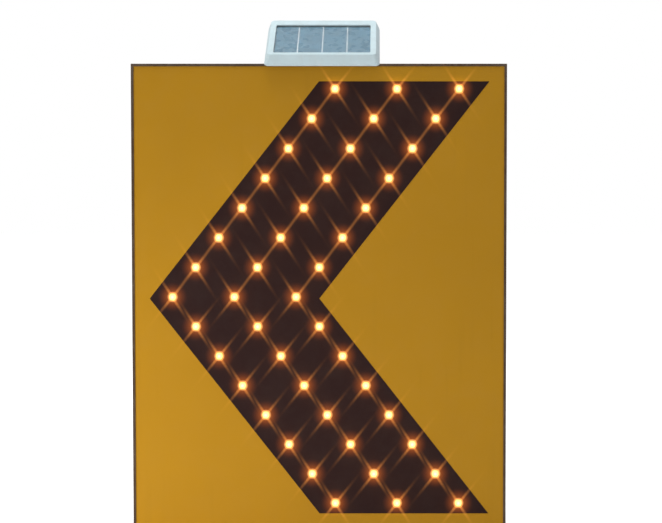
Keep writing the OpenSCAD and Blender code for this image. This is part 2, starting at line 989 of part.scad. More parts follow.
// A block in the panel's frame, across the housing's middle
module solar_block(w, l, from, to, shift = 0) {
    translate([-w / 2, solar_mid + shift - l / 2, solar_up + from]) cube([w, l, to - from]);
}

// A block as wide and long as the housing less a border all round, under the window
module window_block(side, end, from, to) {
    solar_block(solar_w - 2 * side, solar_l - 2 * end, from, to, window_shift);
}

module solar_housing() {
    top_w = solar_w / 2 - draft;
    top_l = solar_l / 2 - draft;
    inner_w = solar_w - 2 * solar_wall;
    inner_l = solar_l - 2 * solar_wall;
    color(shell) tilted() {
        difference() {
            translate([0, solar_mid, solar_up]) intersection() {
                translate([-solar_w / 2, -solar_l / 2, 0])
                    linear_extrude(height = solar_t) rounded(solar_w, solar_l, solar_corner);
                translate([0, solar_l / 2 + 1, 0]) rotate([90, 0, 0])
                    linear_extrude(height = solar_l + 2)
                        polygon([[-solar_w / 2, 0], [solar_w / 2, 0],
                                 [top_w, solar_t], [-top_w, solar_t]]);
                across(-solar_w / 2 - 1, solar_w / 2 + 1)
                    polygon([[-solar_l / 2, 0], [solar_l / 2, 0],
                             [top_l, solar_t], [-top_l, solar_t]]);
            }
            solar_block(inner_w, inner_l, -1, under_glass);
            window_block(glass_border - edge_gap, glass_end_border - edge_gap,
                         under_glass - 1, under_glass + glass_t);
            window_block(window_border, window_end_border, under_glass, solar_t + 1);
        }
        difference() {
            for (p = cover_corner_screws) translate([p[0], p[1], solar_up + solar_cover_t])
                cylinder(r = boss_r, h = under_glass - solar_cover_t);
            for (p = cover_corner_screws) translate([p[0], p[1], solar_up + solar_cover_t - 1])
                cylinder(r = small_r, h = small_l + boss_hole_past - solar_cover_t);
        }
    }
}

module solar_glass() {
    color([0.75, 0.88, 0.95, 0.5]) tilted()
        window_block(glass_border, glass_end_border, under_glass, under_glass + glass_t);
}

module solar_cells() {
    color([0.35, 0.48, 0.58]) tilted() for (i = [0 : cell_count - 1])
        translate([-cells_w / 2 + i * (cell_w + cell_gap), cells_mid - cells_l / 2,
                   solar_up + under_glass - cell_t])
            cube([cell_w, cells_l, cell_t]);
}

module cell_ribbons() {
    color([0.85, 0.87, 0.88]) tilted() {
        for (i = [1 : cell_count - 1])
            translate([-cells_w / 2 + i * (cell_w + cell_gap) - cell_gap / 2 - ribbon_w / 2,
                       cells_mid - cells_l / 2, solar_up + under_glass - cell_t])
                cube([ribbon_w, cells_l, cell_t]);
        for (s = [-1, 1])
            translate([-cells_w / 2, cells_mid + s * (cells_l / 2 + bus_gap + bus_w / 2) - bus_w / 2,
                       solar_up + under_glass - cell_t])
                cube([cells_w, bus_w, cell_t]);
    }
}

module solar_backsheet() {
    color([0.93, 0.95, 0.95]) tilted()
        window_block(glass_border + 1, glass_end_border + 1,
                     under_glass - cell_t - sheet_t, under_glass - cell_t);
}

module solar_back_cover() {
    color(shell) tilted() difference() {
        solar_block(solar_w - 2 * (solar_wall + edge_gap), solar_l - 2 * (solar_wall + edge_gap),
                    0, solar_cover_t);
        lug_screw_shanks();
        for (p = cover_corner_screws) translate([p[0], p[1], solar_up - 1]) {
            cylinder(r = small_head_r, h = small_head_t + 1);
            cylinder(r = small_r + hole_gap, h = solar_cover_t + 2);
        }
    }
}

module junction_box() {
    y0 = solar_l - solar_ahead - jbox_end - jbox_l;
    color(dark) tilted() difference() {
        translate([-jbox_w / 2, y0, solar_up - jbox_t])
            linear_extrude(height = jbox_t) rounded(jbox_w, jbox_l, jbox_corner);
        translate([-jbox_w / 2 + jbox_wall, y0 + jbox_wall, solar_up - jbox_t + jbox_wall])
            cube([jbox_w - 2 * jbox_wall, jbox_l - 2 * jbox_wall, jbox_t]);
    }
}

// ---- Control box ----

module box_outline(inset) {
    translate([box_x0 + inset, box_z0 + inset])
        rounded(box_w - 2 * inset, box_h - 2 * inset, box_corner - inset);
}

module hinge_hub(r) {
    translate([hinge_y, hinge_z]) circle(r);
}

module control_box() {
    top_z = box_z0 + box_h;
    color(shell) difference() {
        union() {
            difference() {
                upright(box_y0, box_y1) box_outline(0);
                upright(box_y0 + box_wall, box_y1 + 1) box_outline(box_wall);
            }
            both_sides(box_mid_x, hinge_mid, hinge_out) {
                hinge_hub(knuckle_r);
                polygon([[box_y1 - hinge_rib, top_z - 1], [box_y1 - hinge_rib_in, top_z - 1],
                         [box_y1 - hinge_rib_in, top_z], [hinge_y, hinge_z - knuckle_r],
                         [hinge_y, hinge_z + knuckle_r]]);
            }
            translate([box_mid_x - keeper_w / 2, lock_y_in + keeper_gap, box_z0 + 1])
                cube([keeper_w, keeper_t, keeper_top - 1]);
        }
        both_sides(box_mid_x, hinge_mid - 1, hinge_out + 1) hinge_hub(pin_r);
        translate([0, 0, board_z]) upright(box_y0 - 1, box_y0 + box_wall + 1)
            at_each(box_screws) circle(screw_r + hole_gap);
        upright(box_y0 - 1, box_y0 + box_wall + 1)
            translate([box_mid_x, box_z0 + box_h / 2]) circle(wire_hole_r);
        translate([switch_x - switch_body_x - edge_gap, switch_y - switch_body_y - edge_gap,
                   box_z0 - 1])
            cube([2 * (switch_body_x + edge_gap), 2 * (switch_body_y + edge_gap), box_wall + 2]);
        translate([gland_x, switch_y, box_z0 - 1]) cylinder(r = gland_r + hole_gap, h = box_wall + 2);
    }
}

module control_lid() {
    color(shell) difference() {
        union() {
            upright(lid_y0, lid_y1) box_outline(0);
            both_sides(box_mid_x, hinge_in, hinge_mid - hinge_side_gap) {
                hinge_hub(knuckle_r);
                translate([lid_y0, box_z0 + box_h - hinge_tab])
                    square([lid_t, hinge_rise + hinge_tab]);
            }
        }
        both_sides(box_mid_x, hinge_in - 1, hinge_mid) hinge_hub(pin_r + turn_gap);
        upright(lid_y0 - 1, lid_y1 + 1) translate([box_mid_x, lock_z]) circle(lock_r + hole_gap);
    }
}

module lid_hinge_pins() {
    color(grey) {
        both_sides(box_mid_x, hinge_in - 1, hinge_out) hinge_hub(pin_r);
        both_sides(box_mid_x, hinge_out, hinge_out + pin_head_t) hinge_hub(pin_r + 1);
    }
}

module lid_seal() {
    color(dark) upright(lid_y0 - lid_seal_t, lid_y0) difference() {
        box_outline(0);
        box_outline(box_wall);
    }
}

module at_lock() {
    translate([box_mid_x, lock_z]) children();
}

module lock_body() {
    color(metal) {
        upright(lock_y_in, lid_y1) at_lock() ring(lock_r, lock_plug_r + turn_gap);
        upright(lid_y1, lid_y1 + lock_face_t) at_lock() ring(lock_face_r, lock_plug_r + turn_gap);
    }
}

module lock_cam() {
    cam_y = lock_y_in - cam_gap;
    color(grey) difference() {
        union() {
            upright(cam_y, lid_y1 + lock_face_t) at_lock() circle(lock_plug_r);
            upright(cam_y - cam_t, cam_y) at_lock() {
                circle(cam_w / 2);
                translate([0, -cam_w / 2]) square([cam_l, cam_w]);
            }
        }
        upright(lid_y1 + lock_face_t - key_slot_deep, lid_y1 + lock_face_t + 1)
            at_lock() square([key_slot_w, key_slot_l], center = true);
    }
}

// ---- Inside the control box ----

module battery_holder() {
    color(dark) translate([holder_x, box_y0 + box_wall, holder_z]) {
        cube([holder_l, holder_t, holder_h]);
        for (x = [0, holder_l - holder_end]) translate([x, 0, 0])
            cube([holder_end, cell_r * 2, holder_h]);
        for (i = [0 : battery_count]) translate([0, 0, i * cell_step])
            cube([holder_l, cell_r, i == battery_count ? holder_t : holder_shelf_t]);
    }
}

module battery_cells() {
    y = box_y0 + box_wall + holder_t + cell_r;
    color([0.25, 0.45, 0.65]) for (i = [0 : battery_count - 1])
        translate([holder_x + holder_end + cell_end_gap, y,
                   holder_z + (i + 0.5) * cell_step + holder_shelf_t / 2])
            rotate([0, 90, 0]) cylinder(r = cell_r, h = cell_l);
}

module control_board() {
    color(circuit) {
        upright(board_y, board_y + control_board_t) translate([board_x, board_bottom])
            square([control_board_w, control_board_h]);
    }
}

// Children on the face of the control board, at a place on it
module on_board(place) {
    translate([board_x, board_y + control_board_t, board_bottom] + place) children();
}

// Spacers, terminal block, capacitors, a driver with its heat sink, and a relay
module board_parts() {
    color(grey) {
        upright(box_y0 + box_wall, board_y) at_each(board_holes) circle(spacer_r);
        upright(board_y + control_board_t, board_y + control_board_t + spacer_head_t)
            at_each(board_holes) circle(spacer_r);
        on_board(terminal_at) cube(terminal);
        for (i = [0 : capacitor_count - 1]) on_board(capacitor_at + [i * capacitor_step, 0, 0])
            rotate([-90, 0, 0]) cylinder(r = capacitor_r, h = capacitor_h);
        on_board(driver_at) cube(driver);
        for (i = [0 : fin_count - 1]) on_board(driver_at + [i * fin_step, driver[1], 0])
            cube([fin_t, fin_out, driver[2]]);
        on_board(relay_at) cube(relay);
    }
}

// ---- Switch and gland in the floor of the control box ----

module switch_body() {
    w = switch_body_x + switch_flange;
    d = switch_body_y + switch_flange;
    color(dark) difference() {
        union() {
            translate([switch_x - w, switch_y - d, box_z0 - switch_flange_t])
                linear_extrude(height = switch_flange_t) rounded(2 * w, 2 * d, switch_corner);
            translate([switch_x - switch_body_x, switch_y - switch_body_y, box_z0])
                cube([2 * switch_body_x, 2 * switch_body_y, switch_body_h]);
        }
        translate([switch_x - switch_cavity_x, switch_y - switch_cavity_y,
                   box_z0 - switch_flange_t - 1])
            cube([2 * switch_cavity_x, 2 * switch_cavity_y, switch_body_h]);
        upright(switch_y - axle_out - axle_end_gap, switch_y + axle_out + axle_end_gap)
            translate([switch_x, switch_pivot_z]) circle(axle_r + turn_gap);
    }
}

module switch_rocker() {
    color([0.55, 0.1, 0.08]) translate([switch_x, 0, switch_pivot_z]) rotate([0, switch_rest, 0]) {
        upright(switch_y - rocker_y, switch_y + rocker_y)
            polygon([[-rocker_x, -rocker_tip], [0, -rocker_dip], [rocker_x, -rocker_tip],
                     [rocker_x, -rocker_side], [rocker_back_x, rocker_back],
                     [-rocker_back_x, rocker_back], [-rocker_x, -rocker_side]]);
        upright(switch_y - axle_out, switch_y + axle_out) circle(axle_r);
    }
}

module cable_gland() {
    floor_top = box_z0 + box_wall;
    cap_z = box_z0 - gland_hex_t - gland_cap_t;
    color(dark) translate([gland_x, switch_y, 0]) difference() {
        union() {
            translate([0, 0, cap_z]) cylinder(r = gland_cap_r, h = gland_cap_t + 1);
            translate([0, 0, box_z0 - gland_hex_t])
                cylinder(r = gland_af / 2 / cos(30), h = gland_hex_t, $fn = 6);
            translate([0, 0, box_z0 - 1])
                cylinder(r = gland_r, h = 1 + box_wall + gland_inner_t + gland_thread_end);
            translate([0, 0, floor_top])
                cylinder(r = gland_af / 2 / cos(30), h = gland_inner_t, $fn = 6);
        }
        translate([0, 0, cap_z - 1]) cylinder(r = gland_bore_r, h = gland_grip + 2);
        translate([0, 0, cap_z + gland_grip])
            cylinder(r = gland_passage_r, h = floor_top - cap_z + gland_inner_t);
    }
}

frame_top();
frame_bottom();
frame_left();
frame_right();
corner_keys();
face_plate();
yellow_film();
chevron_film();
back_cover();
back_cover_seal();
cover_screws();
lamp_bezels();
lamp_lenses();
lamp_nuts();
led_chips();
led_strips_upper();
led_strips_lower();
strip_standoffs();
strip_screws();
strip_connectors();
rail_upper();
rail_lower();
rail_backings();
rail_bolts();
clamp_saddle_upper();
clamp_saddle_lower();
clamp_strap_upper();
clamp_strap_lower();
clamp_bolts();
clamp_washers();
clamp_nuts();
tilt_bracket_left();
tilt_bracket_right();
bracket_screws();
panel_lugs();
solar_screws();
pivot_bolts();
pivot_washers();
tilt_knob_left();
tilt_knob_right();
solar_housing();
solar_glass();
solar_cells();
cell_ribbons();
solar_backsheet();
solar_back_cover();
junction_box();
control_box();
control_lid();
lid_hinge_pins();
lid_seal();
lock_body();
lock_cam();
battery_holder();
battery_cells();
control_board();
board_parts();
switch_body();
switch_rocker();
cable_gland();
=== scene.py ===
"""Looks for the solar chevron alignment sign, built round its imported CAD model. Metres, face towards -Y."""
import json
import math

import bmesh
import bpy
from mathutils import Matrix, Vector


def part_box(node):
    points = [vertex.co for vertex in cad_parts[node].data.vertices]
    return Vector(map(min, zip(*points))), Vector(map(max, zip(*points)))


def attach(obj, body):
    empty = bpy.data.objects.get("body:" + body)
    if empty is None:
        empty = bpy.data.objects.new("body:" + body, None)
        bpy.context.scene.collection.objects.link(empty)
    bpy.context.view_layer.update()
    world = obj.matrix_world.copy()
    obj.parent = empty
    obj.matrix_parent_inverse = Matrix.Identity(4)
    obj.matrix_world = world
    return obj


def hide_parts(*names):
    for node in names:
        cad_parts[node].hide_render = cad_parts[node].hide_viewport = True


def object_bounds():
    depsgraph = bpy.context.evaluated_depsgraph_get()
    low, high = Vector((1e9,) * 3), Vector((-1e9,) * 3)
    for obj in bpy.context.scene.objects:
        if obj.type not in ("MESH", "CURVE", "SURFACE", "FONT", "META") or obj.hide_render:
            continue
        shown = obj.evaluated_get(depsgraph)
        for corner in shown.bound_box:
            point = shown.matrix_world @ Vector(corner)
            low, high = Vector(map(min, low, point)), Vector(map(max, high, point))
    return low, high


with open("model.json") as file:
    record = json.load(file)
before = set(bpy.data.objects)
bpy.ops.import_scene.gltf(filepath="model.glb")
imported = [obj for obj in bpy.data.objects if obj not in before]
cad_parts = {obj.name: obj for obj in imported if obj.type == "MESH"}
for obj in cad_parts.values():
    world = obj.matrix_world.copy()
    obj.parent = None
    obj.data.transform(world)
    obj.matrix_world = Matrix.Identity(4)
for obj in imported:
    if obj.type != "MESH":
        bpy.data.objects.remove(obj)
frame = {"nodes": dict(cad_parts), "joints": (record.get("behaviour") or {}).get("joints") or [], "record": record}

cad_box = [list(corner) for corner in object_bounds()]
MM = 0.001


# ---------------------------------------------------------------- reading the frame

def merged(node):
    """A copy of a CAD node's mesh with its loose triangles joined and its flats made whole."""
    shape = bmesh.new()
    shape.from_mesh(frame["nodes"][node].data)
    bmesh.ops.remove_doubles(shape, verts=shape.verts, dist=0.002 * MM)
    bmesh.ops.dissolve_limit(shape, angle_limit=math.radians(0.5), verts=shape.verts, edges=shape.edges)
    return shape


def islands(node):
    """(lowest corner, highest corner) of each separate solid in a node."""
    shape = bmesh.new()
    shape.from_mesh(frame["nodes"][node].data)
    bmesh.ops.remove_doubles(shape, verts=shape.verts, dist=0.002 * MM)
    left, found = set(shape.verts), []
    while left:
        todo = [left.pop()]
        seen = list(todo)
        while todo:
            for edge in todo.pop().link_edges:
                for vert in edge.verts:
                    if vert in left:
                        left.remove(vert)
                        todo.append(vert)
                        seen.append(vert)
        low = Vector([min(v.co[i] for v in seen) for i in range(3)])
        high = Vector([max(v.co[i] for v in seen) for i in range(3)])
        found.append((low, high))
    shape.free()
    return sorted(found, key=lambda pair: (round(pair[0].z, 4), pair[0].x))


def joint(name):
    """A joint's position."""
    return Vector(next(j for j in frame["joints"] if j["name"] == name)["pos_m"])


def slope_of(node):
    """The angle at which a tilted plate rises towards +Y."""
    shape = merged(node)
    edges = [(e.verts[0].co - e.verts[1].co) for e in shape.edges]
    longest = max((e for e in edges if abs(e.x) < 0.01 * MM), key=lambda e: e.length)
    shape.free()
    return math.atan2(abs(longest.z), abs(longest.y))


tilt = slope_of("solar_glass")
panel_place = Matrix.Translation(joint("solar_tilt")) @ Matrix.Rotation(tilt, 4, "X")


def panel_box(node):
    """A node's box in the solar panel's own frame: x across, y up the slope, z square to the glass."""
    back = panel_place.inverted()
    points = [back @ v.co for v in frame["nodes"][node].data.vertices]
    return (Vector([min(p[i] for p in points) for i in range(3)]),
            Vector([max(p[i] for p in points) for i in range(3)]))


# ---------------------------------------------------------------- shader helpers

def put(tree, kind, inputs=None, **settings):
    """Adds a node; an input is a value or another node's output."""
    made = tree.nodes.new(kind)
    for name, value in settings.items():
        setattr(made, name, value)
    for name, value in (inputs or {}).items():
        if isinstance(value, bpy.types.NodeSocket):
            tree.links.new(value, made.inputs[name])
        else:
            made.inputs[name].default_value = value
    return made


def mix(tree, factor, a, b, blend="MIX"):
    """Mixes two colours."""
    made = put(tree, "ShaderNodeMix", {0: factor, 6: a, 7: b}, data_type="RGBA", blend_type=blend)
    return made.outputs[2]


def math_of(tree, operation, a, b=0.0, clamp=False):
    made = put(tree, "ShaderNodeMath", {0: a, 1: b}, operation=operation, use_clamp=clamp)
    return made.outputs[0]


def times(tree, a, b):
    return math_of(tree, "MULTIPLY", a, b)


def plus(tree, a, b, clamp=False):
    return math_of(tree, "ADD", a, b, clamp)


def laid_on(tree, base, mask, amount, colour):
    """The base with a colour laid on it where the mask is, by that amount."""
    return mix(tree, times(tree, mask, amount), base, colour)


def dulled(tree, level, dust, amount):
    """A roughness raised where dust lies."""
    return plus(tree, level, times(tree, dust, amount), clamp=True)


def remap(tree, value, low, high, to_low=0.0, to_high=1.0):
    """Takes low..high to to_low..to_high and holds it there."""
    made = put(tree, "ShaderNodeMapRange",
               {"Value": value, "From Min": low, "From Max": high, "To Min": to_low, "To Max": to_high})
    return made.outputs[0]


def noise(tree, vector, scale, detail=3.0, roughness=0.55):
    made = put(tree, "ShaderNodeTexNoise",
               {"Vector": vector, "Scale": scale, "Detail": detail, "Roughness": roughness})
    return made.outputs["Fac"]


def stretched(tree, vector, scale):
    """The vector with each of its axes scaled."""
    made = put(tree, "ShaderNodeMapping", {"Vector": vector, "Scale": scale})
    return made.outputs[0]


def group(name, inputs, outputs, build):
    """A shader group; build(tree, inputs) gives its outputs by name."""
    tree = bpy.data.node_groups.new(name, "ShaderNodeTree")
    for label, kind, default in inputs:
        socket = tree.interface.new_socket(label, in_out="INPUT", socket_type=kind)
        if default is not None:
            socket.default_value = default
    for label, kind in outputs:
        tree.interface.new_socket(label, in_out="OUTPUT", socket_type=kind)
    start = tree.nodes.new("NodeGroupInput")
    end = tree.nodes.new("NodeGroupOutput")
    for label, value in build(tree, start.outputs).items():
        tree.links.new(value, end.inputs[label])
    return tree


def use(tree, made_group, inputs):
    """Places a shader group and gives its outputs."""
    return put(tree, "ShaderNodeGroup", inputs, node_tree=made_group).outputs


def first(tree, kind):
    """The first node of a kind that a new tree comes with."""
    return next(node for node in tree.nodes if node.type == kind)


VECTOR, FLOAT = "NodeSocketVector", "NodeSocketFloat"
BLACK, WHITE = (0.0, 0.0, 0.0, 1.0), (1.0, 1.0, 1.0, 1.0)


# ---------------------------------------------------------------- shared effects

def build_weather(tree, given):
    """Dust that lies in patches, runs left by rain, and a slow change of tone."""
    vector = given["Vector"]
    broad = noise(tree, vector, 5.0, 2.0)
    patches = noise(tree, vector, 38.0, 6.0, 0.65)
    specks = noise(tree, vector, 420.0, 2.0)
    dust = times(tree, remap(tree, patches, 0.42, 0.72), remap(tree, broad, 0.3, 0.7, 0.35, 1.0))
    dust = plus(tree, dust, remap(tree, specks, 0.66, 0.78, 0.0, 0.5), clamp=True)
    runs = noise(tree, stretched(tree, vector, (95.0, 95.0, 2.4)), 1.0, 3.0)
    breaks = noise(tree, stretched(tree, vector, (14.0, 14.0, 6.0)), 1.0, 2.0)
    runs = times(tree, remap(tree, runs, 0.56, 0.74), remap(tree, breaks, 0.45, 0.7))
    return {"Dust": dust, "Runs": runs, "Tone": broad}


weather = group("weather", [("Vector", VECTOR, None)],
                [("Dust", FLOAT), ("Runs", FLOAT), ("Tone", FLOAT)], build_weather)


def build_edge_wear(tree, given):
    """1 along sharp edges and 0 on flats, broken up by grain."""
    soft = put(tree, "ShaderNodeBevel", {"Radius": given["Radius"]}, samples=4)
    true = put(tree, "ShaderNodeNewGeometry")
    turn = put(tree, "ShaderNodeVectorMath", {0: soft.outputs[0], 1: true.outputs["Normal"]},
               operation="DOT_PRODUCT").outputs["Value"]
    edge = remap(tree, turn, 0.995, 0.90)
    grain = remap(tree, noise(tree, given["Vector"], 260.0, 4.0, 0.7), 0.42, 0.58)
    return {"Edge": times(tree, edge, grain)}


edge_wear = group("edge_wear", [("Vector", VECTOR, None), ("Radius", FLOAT, 0.0008)],
                  [("Edge", FLOAT)], build_edge_wear)


def build_grain(tree, given):
    """A fine uneven surface: moulded texture, powder coat or film."""
    fine = noise(tree, given["Vector"], given["Scale"], 3.0, 0.6)
    coarse = noise(tree, given["Vector"], 28.0, 2.0)
    height = plus(tree, fine, times(tree, coarse, 0.6))
    return {"Height": height, "Value": fine}


grain = group("grain", [("Vector", VECTOR, None), ("Scale", FLOAT, 900.0)],
              [("Height", FLOAT), ("Value", FLOAT)], build_grain)


def build_brushed(tree, given):
    """Fine lines along X, as on rolled or extruded metal."""
    lines = noise(tree, stretched(tree, given["Vector"], (6.0, 2600.0, 2600.0)), 1.0, 2.0)
    broad = noise(tree, stretched(tree, given["Vector"], (3.0, 300.0, 300.0)), 1.0, 2.0)
    both = plus(tree, times(tree, lines, 0.65),
                   times(tree, broad, 0.35))
    return {"Lines": both}


brushed = group("brushed", [("Vector", VECTOR, None)], [("Lines", FLOAT)], build_brushed)


def build_honeycomb(tree, given):
    """0 on the walls of six-sided cells in the X-Z plane and 1 inside them."""
    root3 = math.sqrt(3.0)
    turned = put(tree, "ShaderNodeMapping", {"Vector": given["Vector"], "Rotation": (math.pi / 2, 0.0, 0.0)})
    scaled = put(tree, "ShaderNodeVectorMath", {0: turned.outputs[0], "Scale": given["Cells per metre"]},
                 operation="SCALE").outputs[0]
    offsets = []
    for shift in (0.0, 0.5):
        moved = put(tree, "ShaderNodeVectorMath", {0: scaled, 1: (shift, shift * root3, 0.0)},
                    operation="ADD").outputs[0]
        wrapped = put(tree, "ShaderNodeVectorMath",
                      {0: moved, 1: (0.5, 0.5 * root3, 1.0), 2: (-0.5, -0.5 * root3, -1.0)},
                      operation="WRAP").outputs[0]
        flat = put(tree, "ShaderNodeVectorMath", {0: wrapped, 1: (1.0, 1.0, 0.0)},
                   operation="MULTIPLY").outputs[0]
        offsets.append(put(tree, "ShaderNodeVectorMath", {0: flat}, operation="ABSOLUTE").outputs[0])
    walls = []
    for offset in offsets:
        slanted = put(tree, "ShaderNodeVectorMath", {0: offset, 1: (0.5, 0.5 * root3, 0.0)},
                      operation="DOT_PRODUCT").outputs["Value"]
        across = put(tree, "ShaderNodeSeparateXYZ", {0: offset}).outputs[0]
        walls.append(math_of(tree, "MAXIMUM", slanted, across))
    nearest = math_of(tree, "MINIMUM", walls[0], walls[1])
    return {"Cell": remap(tree, nearest, 0.5, 0.44)}


honeycomb = group("honeycomb", [("Vector", VECTOR, None), ("Cells per metre", FLOAT, 260.0)],
                  [("Cell", FLOAT)], build_honeycomb)

# The lamps stand in level rows; each row away from the chevron's point starts further right.
lamp_spots = [(low + high) / 2 for low, high in islands("lamp_bezels")]
row_heights = sorted({round(spot.z, 4) for spot in lamp_spots})
point_row = len(row_heights) // 2
row_step = row_heights[1] - row_heights[0]
row_starts = [min(s.x for s in lamp_spots if abs(s.z - height) < MM) for height in row_heights]
row_shift = row_starts[point_row + 1] - row_starts[point_row]
columns = len(lamp_spots) // len(row_heights)
point_xs = sorted(s.x for s in lamp_spots if abs(s.z - row_heights[point_row]) < MM)
column_step = point_xs[1] - point_xs[0]


def nearest_step(tree, value, lowest, highest):
    """The nearest whole number to a value, held between two."""
    whole = math_of(tree, "ROUND", value)
    return math_of(tree, "MINIMUM", math_of(tree, "MAXIMUM", whole, lowest), highest)


def build_lamp_glow(tree, given):
    """Painted glow: the lamp light round each lamp, painted as emission on the film by its distance to the nearest
    lamp: 1 at the flange, 0 past the reach.
    """
    split = put(tree, "ShaderNodeSeparateXYZ", {0: given["Vector"]})
    above = math_of(tree, "SUBTRACT", split.outputs[2], row_heights[point_row])
    along = math_of(tree, "DIVIDE", above, row_step)
    row = nearest_step(tree, along, -point_row, len(row_heights) - 1 - point_row)
    up = times(tree, math_of(tree, "SUBTRACT", along, row), row_step)
    start = plus(tree, times(tree, math_of(tree, "ABSOLUTE", row), row_shift),
                    row_starts[point_row])
    right = math_of(tree, "SUBTRACT", split.outputs[0], start)
    column = nearest_step(tree, math_of(tree, "DIVIDE", right, column_step), 0, columns - 1)
    right = math_of(tree, "SUBTRACT", right, times(tree, column, column_step))
    away = math_of(tree, "SQRT", plus(tree, times(tree, right, right),
                                         times(tree, up, up)))
    near = remap(tree, away, given["Reach"], 7 * MM)
    return {"Glow": math_of(tree, "POWER", near, 1.8)}


painted_lamp_glow = group("painted_lamp_glow", [("Vector", VECTOR, None), ("Reach", FLOAT, 0.024)], [("Glow", FLOAT)],
                  build_lamp_glow)


# ---------------------------------------------------------------- materials

def linear(red, green, blue):
    """A colour given as it is seen on a screen, 0 to 255."""
    def one(part):
        part /= 255.0
        return part / 12.92 if part <= 0.04045 else ((part + 0.055) / 1.055) ** 2.4
    return (one(red), one(green), one(blue), 1.0)


def shade(colour, factor):
    return tuple(part * factor for part in colour[:3]) + (1.0,)


def new_finish(name, **constants):
    """A material with one Principled shader; the constants are its own sockets' values."""
    material = bpy.data.materials.new(name)
    material.use_nodes = True
    tree = material.node_tree
    shader = first(tree, "BSDF_PRINCIPLED")
    for label, value in constants.items():
        shader.inputs[label.replace("_", " ")].default_value = value
    where = put(tree, "ShaderNodeTexCoord").outputs["Object"]
    return material, tree, shader, where


def join(tree, shader, **outputs):
    for label, value in outputs.items():
        tree.links.new(value, shader.inputs[label.replace("_", " ")])


def bump(tree, shader, height, strength, distance):
    made = put(tree, "ShaderNodeBump", {"Height": height, "Strength": strength, "Distance": distance})
    tree.links.new(made.outputs[0], shader.inputs["Normal"])


def weathered(name, colour, rough, grain_scale, grain_depth, dust=0.3, runs=0.2, worn=None,
              wear_radius=0.8 * MM, dirt=(0.42, 0.38, 0.31, 1.0), metallic=0.0, **constants):
    """Paint, plastic or rubber: grain, uneven tone, dust, rain runs and worn edges."""
    material, tree, shader, where = new_finish(name, Metallic=metallic, **constants)
    marks = use(tree, weather, {"Vector": where})
    texture = use(tree, grain, {"Vector": where, "Scale": grain_scale})
    base = mix(tree, remap(tree, marks["Tone"], 0.3, 0.7), shade(colour, 0.9), shade(colour, 1.08))
    base = mix(tree, remap(tree, texture["Value"], 0.35, 0.65), shade(colour, 0.94), base)
    base = laid_on(tree, base, marks["Runs"], runs, dirt)
    base = laid_on(tree, base, marks["Dust"], dust, dirt)
    if worn:
        edge = use(tree, edge_wear, {"Vector": where, "Radius": wear_radius})["Edge"]
        base = laid_on(tree, base, edge, 0.75, worn)
    level = remap(tree, texture["Value"], 0.3, 0.7, rough - 0.06, rough + 0.06)
    level = dulled(tree, level, marks["Dust"], 0.25)
    join(tree, shader, Base_Color=base, Roughness=level)
    bump(tree, shader, texture["Height"], 0.35, grain_depth)
    return material


def sheeting(name, colour, cell_tone, dust, runs, painted_spill, **constants):
    """Retroreflective film: six-sided cells under a smooth clear face, with the lamps' light painted on it as a
    warm glow round each lamp.
    """
    material, tree, shader, where = new_finish(name, Emission_Strength=1.0, **constants)
    cell = use(tree, honeycomb, {"Vector": where, "Cells per metre": 270.0})["Cell"]
    marks = use(tree, weather, {"Vector": where})
    texture = use(tree, grain, {"Vector": where, "Scale": 1500.0})
    base = mix(tree, cell, shade(colour, cell_tone), colour)
    base = mix(tree, remap(tree, marks["Tone"], 0.25, 0.75), shade(colour, 0.93), base)
    base = laid_on(tree, base, marks["Runs"], runs, shade(colour, 0.55))
    base = laid_on(tree, base, marks["Dust"], dust, (0.45, 0.4, 0.32, 1.0))
    level = remap(tree, texture["Value"], 0.3, 0.7, 0.42, 0.54)
    level = dulled(tree, level, marks["Dust"], 0.2)
    # Painted light: a warm glow laid on the film as emission round each lamp, standing in for the lamps' light on
    # it
    glow = use(tree, painted_lamp_glow, {"Vector": where, "Reach": 25 * MM})["Glow"]
    glow = times(tree, glow, remap(tree, cell, 0.0, 1.0, 0.8, 1.0))
    join(tree, shader, Base_Color=base, Roughness=level,
         Emission_Color=mix(tree, glow, BLACK, painted_spill))
    height = plus(tree, times(tree, cell, 0.5),
                     times(tree, texture["Height"], 0.5))
    bump(tree, shader, height, 0.12, 0.05 * MM)
    return material


def bare_metal(name, colour, rough, dust=0.2, runs=0.2, lines=0.5, stain=(0.35, 0.34, 0.31, 1.0)):
    """Rolled, extruded or turned metal with handling marks and dull patches."""
    material, tree, shader, where = new_finish(name, Metallic=1.0)
    marks = use(tree, weather, {"Vector": where})
    streak = use(tree, brushed, {"Vector": where})["Lines"]
    edge = use(tree, edge_wear, {"Vector": where, "Radius": 0.6 * MM})["Edge"]
    base = mix(tree, remap(tree, streak, 0.35, 0.65), shade(colour, 1.0 - 0.16 * lines), shade(colour, 1.05))
    base = mix(tree, remap(tree, marks["Tone"], 0.3, 0.7, 0.0, 0.35), base, shade(colour, 0.8))
    base = laid_on(tree, base, marks["Runs"], runs, stain)
    base = laid_on(tree, base, marks["Dust"], dust, stain)
    base = laid_on(tree, base, edge, 0.5, (0.9, 0.9, 0.9, 1.0))
    level = remap(tree, streak, 0.3, 0.7, rough - 0.08, rough + 0.08)
    level = dulled(tree, level, marks["Dust"], 0.3)
    join(tree, shader, Base_Color=base, Roughness=level)
    bump(tree, shader, streak, 0.15 * lines, 0.05 * MM)
    return material


